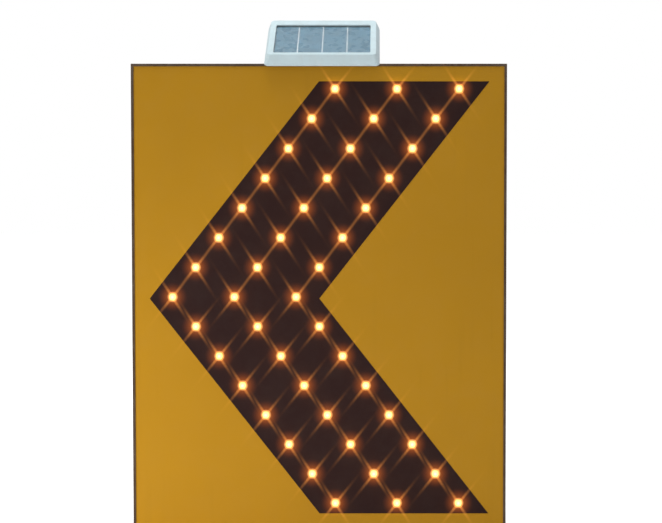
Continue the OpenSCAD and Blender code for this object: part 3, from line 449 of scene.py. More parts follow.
def galvanised(name, colour):
    """Hot-dip zinc: flat crystals of different tone, with white bloom."""
    material, tree, shader, where = new_finish(name, Metallic=0.9)
    crystal = put(tree, "ShaderNodeTexVoronoi", {"Vector": where, "Scale": 150.0, "Randomness": 1.0})
    tone = put(tree, "ShaderNodeSeparateColor", {0: crystal.outputs["Color"]}).outputs[0]
    marks = use(tree, weather, {"Vector": where})
    edge = use(tree, edge_wear, {"Vector": where, "Radius": 0.8 * MM})["Edge"]
    base = mix(tree, tone, shade(colour, 0.8), shade(colour, 1.12))
    base = laid_on(tree, base, marks["Dust"], 0.4, (0.62, 0.63, 0.62, 1.0))
    base = laid_on(tree, base, marks["Runs"], 0.35, (0.3, 0.29, 0.27, 1.0))
    base = laid_on(tree, base, edge, 0.5, (0.8, 0.8, 0.79, 1.0))
    level = remap(tree, tone, 0.0, 1.0, 0.34, 0.52)
    level = dulled(tree, level, marks["Dust"], 0.25)
    join(tree, shader, Base_Color=base, Roughness=level)
    bump(tree, shader, tone, 0.2, 0.08 * MM)
    return material


def flange_with_painted_glow(name, colour):
    """The dark plastic flange round a lens, with the lamp's light painted on it as an orange glow."""
    material = weathered(name, colour, 0.34, 900.0, 0.05 * MM, 0.15, 0.0, Emission_Strength=1.0)
    tree = material.node_tree
    shader = first(tree, "BSDF_PRINCIPLED")
    where = put(tree, "ShaderNodeTexCoord").outputs["Object"]
    # Painted light: the lamp's glow laid on the flange as emission, fading outward from the lens
    glow = use(tree, painted_lamp_glow, {"Vector": where, "Reach": 10.5 * MM})["Glow"]
    broken = remap(tree, use(tree, grain, {"Vector": where, "Scale": 900.0})["Value"], 0.2, 0.8, 0.7, 1.0)
    glow = times(tree, glow, broken)
    join(tree, shader, Emission_Color=mix(tree, glow, BLACK, (1.0, 0.34, 0.06, 1.0)))
    return material


def lit_lens(name):
    """A clear amber cap over a lit LED: white-hot in the middle and amber at its rim."""
    material, tree, shader, where = new_finish(name, IOR=1.49, Emission_Strength=1.5)
    out = put(tree, "ShaderNodeAttribute", attribute_name="rim").outputs["Fac"]
    glow = mix(tree, remap(tree, out, 0.7, 1.05), (1.0, 0.76, 0.36, 1.0), (0.95, 0.46, 0.12, 1.0))
    peak = remap(tree, out, 0.25, 0.5, 1.0, 0.66)
    glow = mix(tree, peak, BLACK, glow)
    dust = use(tree, weather, {"Vector": where})["Dust"]
    base = mix(tree, times(tree, dust, 0.4), (0.85, 0.32, 0.03, 1.0), (0.6, 0.45, 0.28, 1.0))
    level = remap(tree, dust, 0.0, 1.0, 0.08, 0.4)
    join(tree, shader, Base_Color=base, Roughness=level, Emission_Color=glow)
    fine = use(tree, grain, {"Vector": where, "Scale": 700.0})["Height"]
    bump(tree, shader, fine, 0.08, 0.03 * MM)
    return material


def silicon(name):
    """Solar cells in the panel's own frame: fine fingers across, three busbars, crystal tone and dust."""
    material, tree, shader, where = new_finish(name, IOR=1.6, Specular_IOR_Level=0.6)
    turned = put(tree, "ShaderNodeMapping", {"Vector": where, "Rotation": (-tilt, 0.0, 0.0)})
    split = put(tree, "ShaderNodeSeparateXYZ", {0: turned.outputs[0]})
    finger = math_of(tree, "PINGPONG", times(tree, split.outputs[1], 1.0 / (2.2 * MM)), 0.5)
    finger = remap(tree, finger, 0.42, 0.47)
    crystal = put(tree, "ShaderNodeTexVoronoi", {"Vector": turned.outputs[0], "Scale": 130.0})
    tone = put(tree, "ShaderNodeSeparateColor", {0: crystal.outputs["Color"]}).outputs[0]
    marks = use(tree, weather, {"Vector": where})
    base = mix(tree, tone, (0.024, 0.118, 0.186, 1.0), (0.028, 0.128, 0.2, 1.0))
    base = laid_on(tree, base, finger, 0.35, linear(150, 176, 190))
    base = laid_on(tree, base, marks["Dust"], 0.06, linear(170, 178, 180))
    level = remap(tree, tone, 0.0, 1.0, 0.24, 0.36)
    join(tree, shader, Base_Color=base, Roughness=level)
    bump(tree, shader, finger, 0.2, 0.03 * MM)
    return material


def pane(name):
    """Clear glass with dust on it, which lets lamps light what is under it."""
    material, tree, shader, where = new_finish(name, IOR=1.45, Transmission_Weight=1.0)
    dust = use(tree, weather, {"Vector": where})["Dust"]
    join(tree, shader, Base_Color=mix(tree, dust, (0.98, 0.99, 0.99, 1.0), (0.95, 0.96, 0.95, 1.0)),
         Roughness=remap(tree, dust, 0.0, 1.0, 0.01, 0.04))
    clear = put(tree, "ShaderNodeBsdfTransparent").outputs[0]
    shadow = put(tree, "ShaderNodeLightPath").outputs["Is Shadow Ray"]
    both = put(tree, "ShaderNodeMixShader", {0: shadow, 1: shader.outputs[0], 2: clear}).outputs[0]
    output = first(tree, "OUTPUT_MATERIAL")
    tree.links.new(both, output.inputs["Surface"])
    return material


def circuit(name):
    """Green solder mask with copper tracks showing through it as lines of a lighter green."""
    material, tree, shader, where = new_finish(name, IOR=1.5)
    tracks = put(tree, "ShaderNodeTexBrick",
                 {"Vector": where, "Scale": 70.0, "Mortar Size": 0.03,
                  "Color1": BLACK, "Color2": (0.15, 0.15, 0.15, 1.0), "Mortar": WHITE})
    line = put(tree, "ShaderNodeSeparateColor", {0: tracks.outputs["Color"]}).outputs[0]
    base = mix(tree, line, linear(16, 92, 50), linear(46, 140, 84))
    dust = use(tree, weather, {"Vector": where})["Dust"]
    base = laid_on(tree, base, dust, 0.2, linear(150, 150, 140))
    join(tree, shader, Base_Color=base, Roughness=remap(tree, dust, 0.0, 1.0, 0.3, 0.5))
    bump(tree, shader, line, 0.2, 0.03 * MM)
    return material


ALUMINIUM = (0.72, 0.73, 0.74, 1.0)

finishes = {
    "frame_metal": weathered("bronze_powder_coat", linear(66, 43, 20), 0.5, 1400.0, 0.05 * MM, 0.16, 0.15,
                             worn=linear(120, 106, 84), wear_radius=0.5 * MM),
    "plate_aluminium": bare_metal("mill_aluminium", ALUMINIUM, 0.34),
    "yellow_sheeting": sheeting("yellow_sheeting", (0.445, 0.218, 0.008, 1.0), 0.93, 0.02, 0.12,
                                painted_spill=(0.3, 0.1, 0.0, 1.0), Specular_IOR_Level=0.15),
    "black_sheeting": sheeting("black_sheeting", (0.02, 0.0105, 0.0115, 1.0), 0.8, 0.015, 0.05,
                               painted_spill=(0.26, 0.05, 0.005, 1.0), Specular_IOR_Level=0.06),
    "cover_metal": bare_metal("rolled_back_cover", shade(ALUMINIUM, 0.74), 0.42, 0.3, 0.3, 0.7),
    "seal_rubber": weathered("black_seal", linear(26, 26, 27), 0.8, 700.0, 0.1 * MM, 0.2, 0.0),
    "fastener_steel": bare_metal("zinc_plated_steel", (0.66, 0.66, 0.62, 1.0), 0.3, 0.25, 0.2, 0.3),
    "rail_aluminium": bare_metal("extruded_rail", ALUMINIUM, 0.36, 0.25, 0.25, 0.8),
    "clamp_steel": galvanised("galvanised_steel", (0.56, 0.58, 0.6, 1.0)),
    "lamp_black": flange_with_painted_glow("lamp_flange_plastic", linear(30, 24, 20)),
    "lamp_amber": lit_lens("lit_amber_lens"),
    "led_phosphor": weathered("led_phosphor", linear(240, 214, 120), 0.5, 900.0, 0.03 * MM, 0.0, 0.0),
    "circuit_green": circuit("green_circuit_board"),
    "connector_white": weathered("white_connector", linear(226, 222, 208), 0.4, 800.0, 0.04 * MM, 0.2, 0.0),
    "solar_shell": weathered("pale_panel_plastic", linear(206, 226, 231), 0.4, 1100.0, 0.05 * MM, 0.3, 0.25,
                             worn=linear(236, 240, 240), dirt=linear(150, 152, 146)),
    "solar_glass": pane("panel_glass"),
    "solar_silicon": silicon("silicon_cells"),
    "ribbon_tin": bare_metal("tinned_ribbon", (0.82, 0.83, 0.84, 1.0), 0.3, 0.1, 0.0, 0.3),
    "backsheet_white": weathered("white_backsheet", linear(206, 218, 224), 0.5, 900.0, 0.02 * MM, 0.1, 0.0),
    "black_plastic": weathered("black_moulded_plastic", linear(34, 34, 35), 0.48, 650.0, 0.12 * MM, 0.2, 0.0,
                               worn=linear(84, 84, 84)),
    "box_plastic": weathered("grey_moulded_plastic", linear(184, 188, 188), 0.46, 800.0, 0.1 * MM, 0.35, 0.35,
                             worn=linear(214, 216, 216)),
    "lock_metal": bare_metal("plated_lock", (0.74, 0.75, 0.76, 1.0), 0.2, 0.15, 0.0, 0.3),
    "battery_wrap": weathered("blue_shrink_sleeve", linear(54, 106, 158), 0.28, 500.0, 0.03 * MM, 0.1, 0.0),
    "rocker_red": weathered("red_rocker", linear(150, 26, 20), 0.3, 700.0, 0.04 * MM, 0.2, 0.0,
                            worn=linear(190, 80, 70)),
}
finishes["terminal_green"] = weathered("green_terminal_plastic", linear(54, 130, 84), 0.4, 800.0, 0.04 * MM,
                                       0.1, 0.0)
finishes["relay_blue"] = weathered("blue_relay_case", linear(40, 84, 150), 0.3, 700.0, 0.03 * MM, 0.1, 0.0)
slot_of = {part["node"]: part["material_slot"] for part in frame["record"]["subparts"]}
body_of = {node: body for body, nodes in frame["record"]["behaviour"]["bodies"].items() for node in nodes}


# ---------------------------------------------------------------- making pieces

def mesh_piece(shape, name, body, slot, smooth_angle=32.0, material=None):
    """Turns a bmesh into a piece that rides on a body."""
    bmesh.ops.recalc_face_normals(shape, faces=shape.faces)
    mesh = bpy.data.meshes.new(name)
    shape.to_mesh(mesh)
    shape.free()
    for face in mesh.polygons:
        face.use_smooth = True
    mesh.set_sharp_from_angle(angle=math.radians(smooth_angle))
    mesh.materials.append(material or finishes[slot])
    piece = bpy.data.objects.new(name, mesh)
    bpy.context.scene.collection.objects.link(piece)
    # Broad flat faces keep their own normals, and only the eased edges between them shade round
    piece.modifiers.new("even_shading", "WEIGHTED_NORMAL").keep_sharp = True
    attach(piece, body)
    return piece


def finish_piece(shape, name, node, smooth_angle=32.0, material=None, slot=None):
    """A piece that stands for a CAD node, with that node's body and, unless told, its slot."""
    piece = mesh_piece(shape, name, body_of[node], slot or slot_of[node], smooth_angle, material)
    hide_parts(node)
    return piece


def ease_edges(shape, edges, width, segments=2, clamp_overlap=False):
    bmesh.ops.bevel(shape, geom=edges, offset=width, offset_type="OFFSET", affect="EDGES",
                    segments=segments, profile=0.5, material=-1, clamp_overlap=clamp_overlap)


def eased(node, width, sharp_angle=35.0):
    """A CAD node with its sharp edges eased by that width."""
    shape = merged(node)
    edges = [e for e in shape.edges if len(e.link_faces) == 2
             and e.calc_face_angle(0.0) > math.radians(sharp_angle)]
    ease_edges(shape, edges, width, clamp_overlap=True)
    finish_piece(shape, node + "_eased", node)


def turned_shape(profile, axis_turns, steps):
    """A closed shape spun from a profile of (radius, height) points about Z."""
    shape = bmesh.new()
    points = [shape.verts.new((radius, 0.0, height)) for radius, height in profile]
    edges = [shape.edges.new(pair) for pair in zip(points, points[1:])]
    bmesh.ops.spin(shape, geom=points + edges, cent=(0, 0, 0), axis=(0, 0, 1),
                   angle=2 * math.pi, steps=steps, use_merge=True)
    bmesh.ops.remove_doubles(shape, verts=shape.verts, dist=0.001 * MM)
    bmesh.ops.transform(shape, matrix=axis_turns, verts=shape.verts)
    return shape


def arc(centre, radius, start, end, steps):
    """Points of an arc, angles in degrees from the first axis."""
    return [(centre[0] + radius * math.cos(math.radians(start + (end - start) * i / steps)),
             centre[1] + radius * math.sin(math.radians(start + (end - start) * i / steps)))
            for i in range(steps + 1)]


def repeated(shape, places):
    """One bmesh holding the shape moved to each place."""
    mesh = bpy.data.meshes.new("one")
    shape.to_mesh(mesh)
    shape.free()
    whole = bmesh.new()
    for place in places:
        before = len(whole.verts)
        whole.from_mesh(mesh)
        whole.verts.ensure_lookup_table()
        bmesh.ops.translate(whole, vec=place, verts=whole.verts[before:])
    bpy.data.meshes.remove(mesh)
    return whole


def skin(rings, closed):
    """A skin drawn out from ring to ring; each ring has the same number of points, in the same order."""
    shape = bmesh.new()
    order = shape.verts.layers.int.new("order")
    start = bmesh.ops.create_circle(shape, cap_ends=False, segments=len(rings[0]), radius=1.0)["verts"]
    for k, vert in enumerate(start):
        vert[order] = k
        vert.co = rings[0][k]
    edges = shape.edges[:]
    for ring in rings[1:] + (rings[:1] if closed else []):
        made = bmesh.ops.extrude_edge_only(shape, edges=edges)["geom"]
        new = {vert for vert in made if isinstance(vert, bmesh.types.BMVert)}
        for vert in new:
            vert.co = ring[vert[order]]
        edges = [edge for edge in made if isinstance(edge, bmesh.types.BMEdge) and set(edge.verts) <= new]
    if closed:
        bmesh.ops.remove_doubles(shape, verts=shape.verts, dist=0.001 * MM)
    else:
        bmesh.ops.holes_fill(shape, edges=[edge for edge in shape.edges if edge.is_boundary], sides=0)
    shape.verts.layers.int.remove(order)
    return shape


def lofted(loops, corner_steps=6, closed=True):
    """A skin through level round-cornered rectangles: (half_x, half_y, radius, height, middle)."""
    rings = []
    for half_x, half_y, radius, height, middle in loops:
        ring = []
        for turn, side_x, side_y in ((0, 1, 1), (90, -1, 1), (180, -1, -1), (270, 1, -1)):
            centre = (middle[0] + side_x * (half_x - radius), middle[1] + side_y * (half_y - radius))
            ring += [(x, y, height) for x, y in arc(centre, radius, turn, turn + 90, corner_steps)]
        rings.append(ring)
    return skin(rings, closed)


def fluted(loops, outline, steps, closed=False):
    """A skin through level loops of (radius, height); outline(turn, radius) shapes each loop."""
    rings = []
    for radius, height in loops:
        turns = [2 * math.pi * k / steps for k in range(steps)]
        reaches = [outline(turn, radius) for turn in turns]
        rings.append([(reach * math.cos(turn), reach * math.sin(turn), height)
                      for turn, reach in zip(turns, reaches)])
    return skin(rings, closed)


def plain(_turn, radius):
    """A round outline."""
    return radius


def hexagon(across):
    """An outline with six flats; a radius below the corners' cuts them off."""
    sixth = math.pi / 3

    def outline(turn, radius):
        return min(radius, across / 2 / math.cos((turn + sixth / 2) % sixth - sixth / 2))
    return outline


def ridged(count, depth):
    """An outline with that many soft ridges."""
    def outline(turn, radius):
        return radius - depth * (0.5 - 0.5 * math.cos(turn * count))
    return outline


def joined(shapes):
    """One bmesh of several."""
    whole = bmesh.new()
    for shape in shapes:
        mesh = bpy.data.meshes.new("part")
        shape.to_mesh(mesh)
        shape.free()
        whole.from_mesh(mesh)
        bpy.data.meshes.remove(mesh)
    return whole


def placed(shape, *matrices):
    """The shape moved by each matrix in turn."""
    for matrix in matrices:
        bmesh.ops.transform(shape, matrix=matrix, verts=shape.verts)
    return shape


def at(x, y, z):
    return Matrix.Translation((x, y, z))


def plan_of(low, high):
    """The middle and the half sizes of a box in x and y."""
    return (tuple((low[i] + high[i]) / 2 for i in (0, 1)),
            tuple((high[i] - low[i]) / 2 for i in (0, 1)))


def on_face(low, high):
    """Stands a turned shape on the board, in the middle of a solid's foot."""
    return at((low.x + high.x) / 2, low.y, (low.z + high.z) / 2) @ TOWARDS_BACK


TOWARDS_FRONT = Matrix.Rotation(math.pi / 2, 4, "X")
TOWARDS_BACK = Matrix.Rotation(-math.pi / 2, 4, "X")
TOWARDS_RIGHT = Matrix.Rotation(math.pi / 2, 4, "Y")
TOWARDS_LEFT = Matrix.Rotation(-math.pi / 2, 4, "Y")


# ---------------------------------------------------------------- lamps

def make_lamps():
    low, high = islands("lamp_bezels")[0]
    lens_low, lens_high = islands("lamp_lenses")[0]
    flange_r = (high.x - low.x) / 2
    lens_r = (lens_high.x - lens_low.x) / 2
    flange_front, barrel_back = -low.y, -high.y
    dome_top, lens_back = -lens_low.y, -lens_high.y
    spots = [Vector((spot.x, 0.0, spot.z)) for spot in lamp_spots]
    # flange: a rounded rim, a dished face and the barrel behind it
    rim, wall = 0.55 * MM, 0.75 * MM
    seat = flange_front - 1.2 * MM
    flange = ([(lens_r + 0.02 * MM, barrel_back), (lens_r + wall, barrel_back), (lens_r + wall, seat),
               (flange_r - 0.1 * MM, seat)]
              + arc((flange_r - rim, flange_front - rim), rim, -20, 90, 5)
              + [(flange_r - 1.1 * MM, flange_front - 0.02 * MM)]
              + [(lens_r + out * MM, flange_front - down * MM)
                 for out, down in ((0.9, 0.35), (0.3, 0.1), (0.02, 0.25))])
    flange.append(flange[0])
    finish_piece(repeated(turned_shape(flange, TOWARDS_FRONT, 28), spots), "lamp_flanges", "lamp_bezels")
    # lens: a domed cap with a step at its foot, hollow behind
    foot = flange_front - 0.2 * MM
    rise = dome_top - foot
    dome_r = (lens_r ** 2 + rise ** 2) / (2 * rise)
    reach = math.degrees(math.asin(lens_r / dome_r))
    outer = [(p[0], p[1]) for p in arc((0.0, dome_top - dome_r), dome_r, 90 - reach, 90, 9)]
    inner = [(p[0], p[1]) for p in arc((0.0, dome_top - dome_r), dome_r - 1.2 * MM, 90, 90 - reach * 0.8, 6)]
    inner_r = inner[-1][0]
    cap = [(inner_r, lens_back), (lens_r, lens_back)] + outer + inner + [(inner_r, lens_back)]
    one = turned_shape(cap, TOWARDS_FRONT, 24)
    layer = one.verts.layers.float.new("rim")
    for vert in one.verts:
        vert[layer] = math.hypot(vert.co.x, vert.co.z) / lens_r
    finish_piece(repeated(one, spots), "lamp_caps", "lamp_lenses")


# ---------------------------------------------------------------- solar panel

def make_solar_housing():
    """The moulded frame: drafted sides, rolled top edge, and a window stepped down to the glass."""
    low, high = panel_box("solar_housing")
    glass_low, glass_high = panel_box("solar_glass")
    middle, (half_x, half_y) = plan_of(low, high)
    glass_mid, (gx, gy) = plan_of(glass_low, glass_high)
    fit_gap = 0.2 * MM
    cx, cy = (half + fit_gap for half in plan_of(*panel_box("solar_back_cover"))[1])
    draft, roll = 5.2 * MM, 1.6 * MM
    corner = 7.0 * MM
    sx, sy = gx - 3.0 * MM, gy - 4.0 * MM
    top, floor = high.z, low.z
    loops = [
        (cx, cy, 2.5 * MM, glass_low.z, middle),
        (cx, cy, 2.5 * MM, floor, middle),
        (half_x - 0.5 * MM, half_y - 0.5 * MM, corner, floor, middle),
        (half_x, half_y, corner, floor + 0.5 * MM, middle),
    ]
    for up, inset in [(2.2, 0.35), (2.4, 0.75), (3.0, 0.85), (3.2, 0.55)]:
        loops.append((half_x - inset * MM, half_y - inset * MM, corner, floor + up * MM, middle))
    for turn in range(0, 91, 18):
        across = draft + roll * (1 - math.cos(math.radians(turn)))
        height = top - roll * (1 - math.sin(math.radians(turn)))
        loops.append((half_x - across, half_y - across, corner - 0.4 * MM, height, middle))
    lip = 0.9 * MM
    for turn in range(0, 91, 30):
        out = lip * (1 - math.sin(math.radians(turn)))
        height = top - lip * (1 - math.cos(math.radians(turn)))
        loops.append((sx + out, sy + out, 3.0 * MM, height, glass_mid))
    loops += [
        (sx, sy, 2.4 * MM, glass_high.z, glass_mid),
        (gx + fit_gap, gy + fit_gap, 1.0 * MM, glass_high.z, glass_mid),
        (gx + fit_gap, gy + fit_gap, 1.0 * MM, glass_low.z, glass_mid),
    ]
    shape = lofted(loops)
    finish_piece(placed(shape, panel_place), "panel_housing", "solar_housing", 40.0)


def make_panel_pane():
    """The glass, with ground edges and a hair's gap between it and the cells."""
    low, high = panel_box("solar_glass")
    middle, (half_x, half_y) = plan_of(low, high)
    gap, ground = 0.15 * MM, 0.3 * MM
    loops = [(half_x - ground, half_y - ground, ground, low.z + gap, middle),
             (half_x, half_y, ground * 2, low.z + gap + ground, middle),
             (half_x, half_y, ground * 2, high.z - ground, middle),
             (half_x - ground, half_y - ground, ground, high.z, middle)]
    shape = lofted(loops, 3, closed=False)
    finish_piece(placed(shape, panel_place), "panel_pane", "solar_glass")


# ---------------------------------------------------------------- bolts, nuts and knobs

def hex_block(across, thick, chamfer=0.06):
    """A bolt head or a solid nut: six flats with both ends turned down to a circle."""
    edge, corner = across * 0.49, across * 0.6
    drop = across * chamfer
    loops = [(edge * 0.97, 0.0), (edge, 0.02 * thick), (corner, drop), (corner, thick - drop),
             (edge, thick - 0.02 * thick), (edge * 0.97, thick)]
    return fluted(loops, hexagon(across), 36)


def threaded_rod(radius, start, end, thread_from, pitch, steps=20):
    """A rod on Z with turned thread grooves from thread_from to its chamfered end."""
    depth = pitch * 0.35
    profile = [(0.0, start), (radius, start), (radius, thread_from)]
    count = int((end - pitch - thread_from) / pitch)
    for k in range(count):
        low = thread_from + k * pitch
        profile += [(radius - depth, low + pitch * 0.45), (radius, low + pitch * 0.9)]
    profile += [(radius - depth, end), (0.0, end)]
    return turned_shape(profile, Matrix.Identity(4), steps)


def make_clamp_fasteners():
    """Hexagon bolts through the rails and straps, with their nuts."""
    head_thick, across, radius, pitch = 5.5 * MM, 13.0 * MM, 4.0 * MM, 1.25 * MM
    bolts, nuts = [], []
    nut_boxes = islands("clamp_nuts")
    for (low, high), (nut_low, nut_high) in zip(islands("clamp_bolts"), nut_boxes):
        middle = (low + high) / 2
        place = at(middle.x, low.y, middle.z) @ TOWARDS_BACK
        rod = threaded_rod(radius, head_thick * 0.8, high.y - low.y, nut_low.y - low.y - 2 * pitch, pitch)
        bolts.append(placed(joined([hex_block(across, head_thick), rod]), place))
        nuts.append(placed(hex_block(across, nut_high.y - nut_low.y, 0.08),
                           at(middle.x, nut_low.y, middle.z) @ TOWARDS_BACK))
    finish_piece(joined(bolts), "clamp_bolts_threaded", "clamp_bolts")
    finish_piece(joined(nuts), "clamp_nuts_chamfered", "clamp_nuts")


def make_rail_bolts():
    head_thick, across, radius = 4.0 * MM, 10.0 * MM, 3.0 * MM
    bolts = []
    for low, high in islands("rail_bolts"):
        middle = (low + high) / 2
        rod = threaded_rod(radius, head_thick * 0.8, high.y - low.y, high.y - low.y - 6 * MM, 1.0 * MM)
        place = at(middle.x, high.y, middle.z) @ TOWARDS_FRONT
        bolts.append(placed(joined([hex_block(across, head_thick), rod]), place))
    finish_piece(joined(bolts), "rail_bolts_chamfered", "rail_bolts")


def make_knob(node, side):
    """A lobed hand knob: ribbed skirt, dished crown and a shallow hub on its inner face."""
    low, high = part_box(node)
    low, high = Vector(low), Vector(high)
    pivot = joint("solar_tilt")
    length = high.x - low.x
    radius = (high.z - low.z) / 2 * 1.02
    count, lobe = 5, 2.6 * MM

    def outline(turn, reach):
        wave = 0.5 + 0.5 * math.cos(turn * count)
        return reach - lobe * (1 - wave ** 0.6) * min(1.0, reach / radius)
    bore = 3.06 * MM
    skirt, crown, taper, hub_r = 2.0 * MM, 2.6 * MM, 0.2 * MM, 6.2 * MM
    loops = [(bore, 9.6 * MM), (bore, 0.0), (hub_r, 0.0), (hub_r, 0.6 * MM),
             (radius - 1.2 * MM, 0.9 * MM), (radius - 0.4 * MM, 1.2 * MM), (radius, skirt)]
    loops += [(radius - taper * k / 4, skirt + (length - skirt - crown) * k / 4) for k in range(1, 5)]
    loops += [(radius - taper - crown * (1 - math.cos(turn)), length - crown * (1 - math.sin(turn)))
              for turn in (0.4, 0.8, 1.2, math.pi / 2)]
    loops += [(5.0 * MM, length - 0.05 * MM), (4.4 * MM, length - 0.7 * MM), (1.2 * MM, length - 0.4 * MM)]
    shape = fluted(loops, outline, 60)
    x, turned = (low.x, TOWARDS_RIGHT) if side > 0 else (high.x, TOWARDS_LEFT)
    placed(shape, turned, at(x, pivot.y, pivot.z))
    finish_piece(shape, node + "_moulded", node, 38.0)


# ---------------------------------------------------------------- gland, batteries and board

def make_gland():
    """A moulded gland: ribbed cap, hexagon body, thread and lock nut inside, and its seal."""
    low, high = (Vector(v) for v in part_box("cable_gland"))
    box_low = Vector(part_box("control_box")[0])
    middle = (low + high) / 2
    across, thread_r, cap_r = 22.0 * MM, 8.0 * MM, 9.0 * MM
    bore, wide = 3.5 * MM, 5.5 * MM
    floor_z = box_low.z - low.z
    hex_from, wall = floor_z - 6.0 * MM, 2.5 * MM
    grip = 11.0 * MM

    def tube(loops, outline, steps=72):
        return fluted(loops, outline, steps, closed=True)
    cap = tube([(6.4 * MM, 0.0), (cap_r - 1.0 * MM, 0.0), (cap_r - 0.3 * MM, 0.5 * MM), (cap_r, 1.4 * MM),
                (cap_r, hex_from - 0.5 * MM), (cap_r - 0.4 * MM, hex_from), (6.4 * MM, hex_from)],
               ridged(18, 0.55 * MM))
    seal = tube([(bore, 0.4 * MM), (4.0 * MM, 0.0), (6.5 * MM, 0.0), (6.5 * MM, grip), (bore, grip)], plain)
    body = tube([(wide, hex_from), (across * 0.49, hex_from), (across * 0.6, hex_from + 0.9 * MM),
                 (across * 0.6, floor_z - 0.8 * MM), (across * 0.49, floor_z), (wide, floor_z)],
                hexagon(across))
    end = high.z - low.z
    thread = [(wide, floor_z - 1 * MM), (thread_r, floor_z - 1 * MM), (thread_r, floor_z + wall)]
    count = int((end - floor_z - wall - 0.6 * MM) / (1.5 * MM))
    for k in range(count):
        start = floor_z + wall + k * 1.5 * MM
        thread += [(thread_r - 0.6 * MM, start + 0.7 * MM), (thread_r, start + 1.4 * MM)]
    thread += [(thread_r - 0.6 * MM, end), (wide, end)]
    nut = tube([(thread_r - 0.3 * MM, floor_z + wall), (across * 0.49, floor_z + wall),
                (across * 0.6, floor_z + wall + 0.6 * MM), (across * 0.6, floor_z + wall + 3.4 * MM),
                (across * 0.49, floor_z + wall + 4 * MM), (thread_r - 0.3 * MM, floor_z + wall + 4 * MM)],
               hexagon(across))
    whole = joined([cap, seal, body, tube(thread, plain, 36), nut])
    finish_piece(placed(whole, at(middle.x, middle.y, low.z)), "gland_moulded", "cable_gland")


def make_batteries():
    """Four cells in shrink sleeve: rolled shoulders, a crimp groove and a raised cap at one end."""
    sleeves, ends = [], []
    for k, (low, high) in enumerate(islands("battery_cells")):
        middle, length = (low + high) / 2, high.x - low.x
        radius = (high.z - low.z) / 2
        body = ([(0.0, 0.4 * MM), (radius - 2.2 * MM, 0.4 * MM)]
                + arc((radius - 0.8 * MM, 0.8 * MM), 0.8 * MM, -90, 0, 3)
                + [(radius, length - 5.6 * MM), (radius - 0.5 * MM, length - 5.0 * MM),
                   (radius - 0.5 * MM, length - 4.6 * MM), (radius, length - 4.0 * MM)]
                + arc((radius - 0.9 * MM, length - 2.0 * MM), 0.9 * MM, 0, 90, 3)
                + [(radius - 2.4 * MM, length - 1.2 * MM), (0.0, length - 1.2 * MM)])
        cap = [(0.0, length - 1.6 * MM), (6.3 * MM, length - 1.6 * MM), (6.3 * MM, length - 1.1 * MM),
               (3.4 * MM, length - 1.0 * MM), (3.0 * MM, length - 0.1 * MM), (0.0, length)]
        foot = [(0.0, 0.0), (6.6 * MM, 0.1 * MM), (6.9 * MM, 0.6 * MM), (0.0, 0.6 * MM)]
        place = (at(low.x, middle.y, middle.z) @ TOWARDS_RIGHT if k % 2 == 0
                 else at(high.x, middle.y, middle.z) @ TOWARDS_LEFT)
        sleeves.append(turned_shape(body, place, 36))
        ends += [turned_shape(cap, place, 28), turned_shape(foot, place, 28)]
    finish_piece(joined(sleeves), "battery_sleeves", "battery_cells")
    finish_piece(joined(ends), "battery_terminals", "battery_cells", slot="fastener_steel")


def board_solids():
    """The solids on the control board, told apart by their sizes."""
    face = Vector(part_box("control_board")[1]).y
    kinds = {"spacers": [], "capacitors": [], "terminal": [], "driver": [], "relay": []}
    for low, high in islands("board_parts"):
        size = high - low
        if abs(size.x - size.z) < 0.1 * MM and size.x < 6 * MM:
            kinds["spacers"].append((low, high))
        elif abs(size.x - size.z) < 0.1 * MM:
            kinds["capacitors"].append((low, high))
        elif size.x > 30 * MM:
            kinds["terminal"].append((low, high))
        elif low.y < face + 0.5 * MM and size.x > 15 * MM:
            kinds["driver"].append((low, high))
        else:
            kinds["relay"].append((low, high))
    return kinds


def soft_block(low, high, width, segments=2):
    """A block between two corners, its edges eased."""
    shape = bmesh.new()
    bmesh.ops.create_cube(shape, size=1.0)
    size, middle = high - low, (low + high) / 2
    bmesh.ops.scale(shape, vec=size, verts=shape.verts)
    bmesh.ops.translate(shape, vec=middle, verts=shape.verts)
    ease_edges(shape, shape.edges[:], width, segments)
    return shape


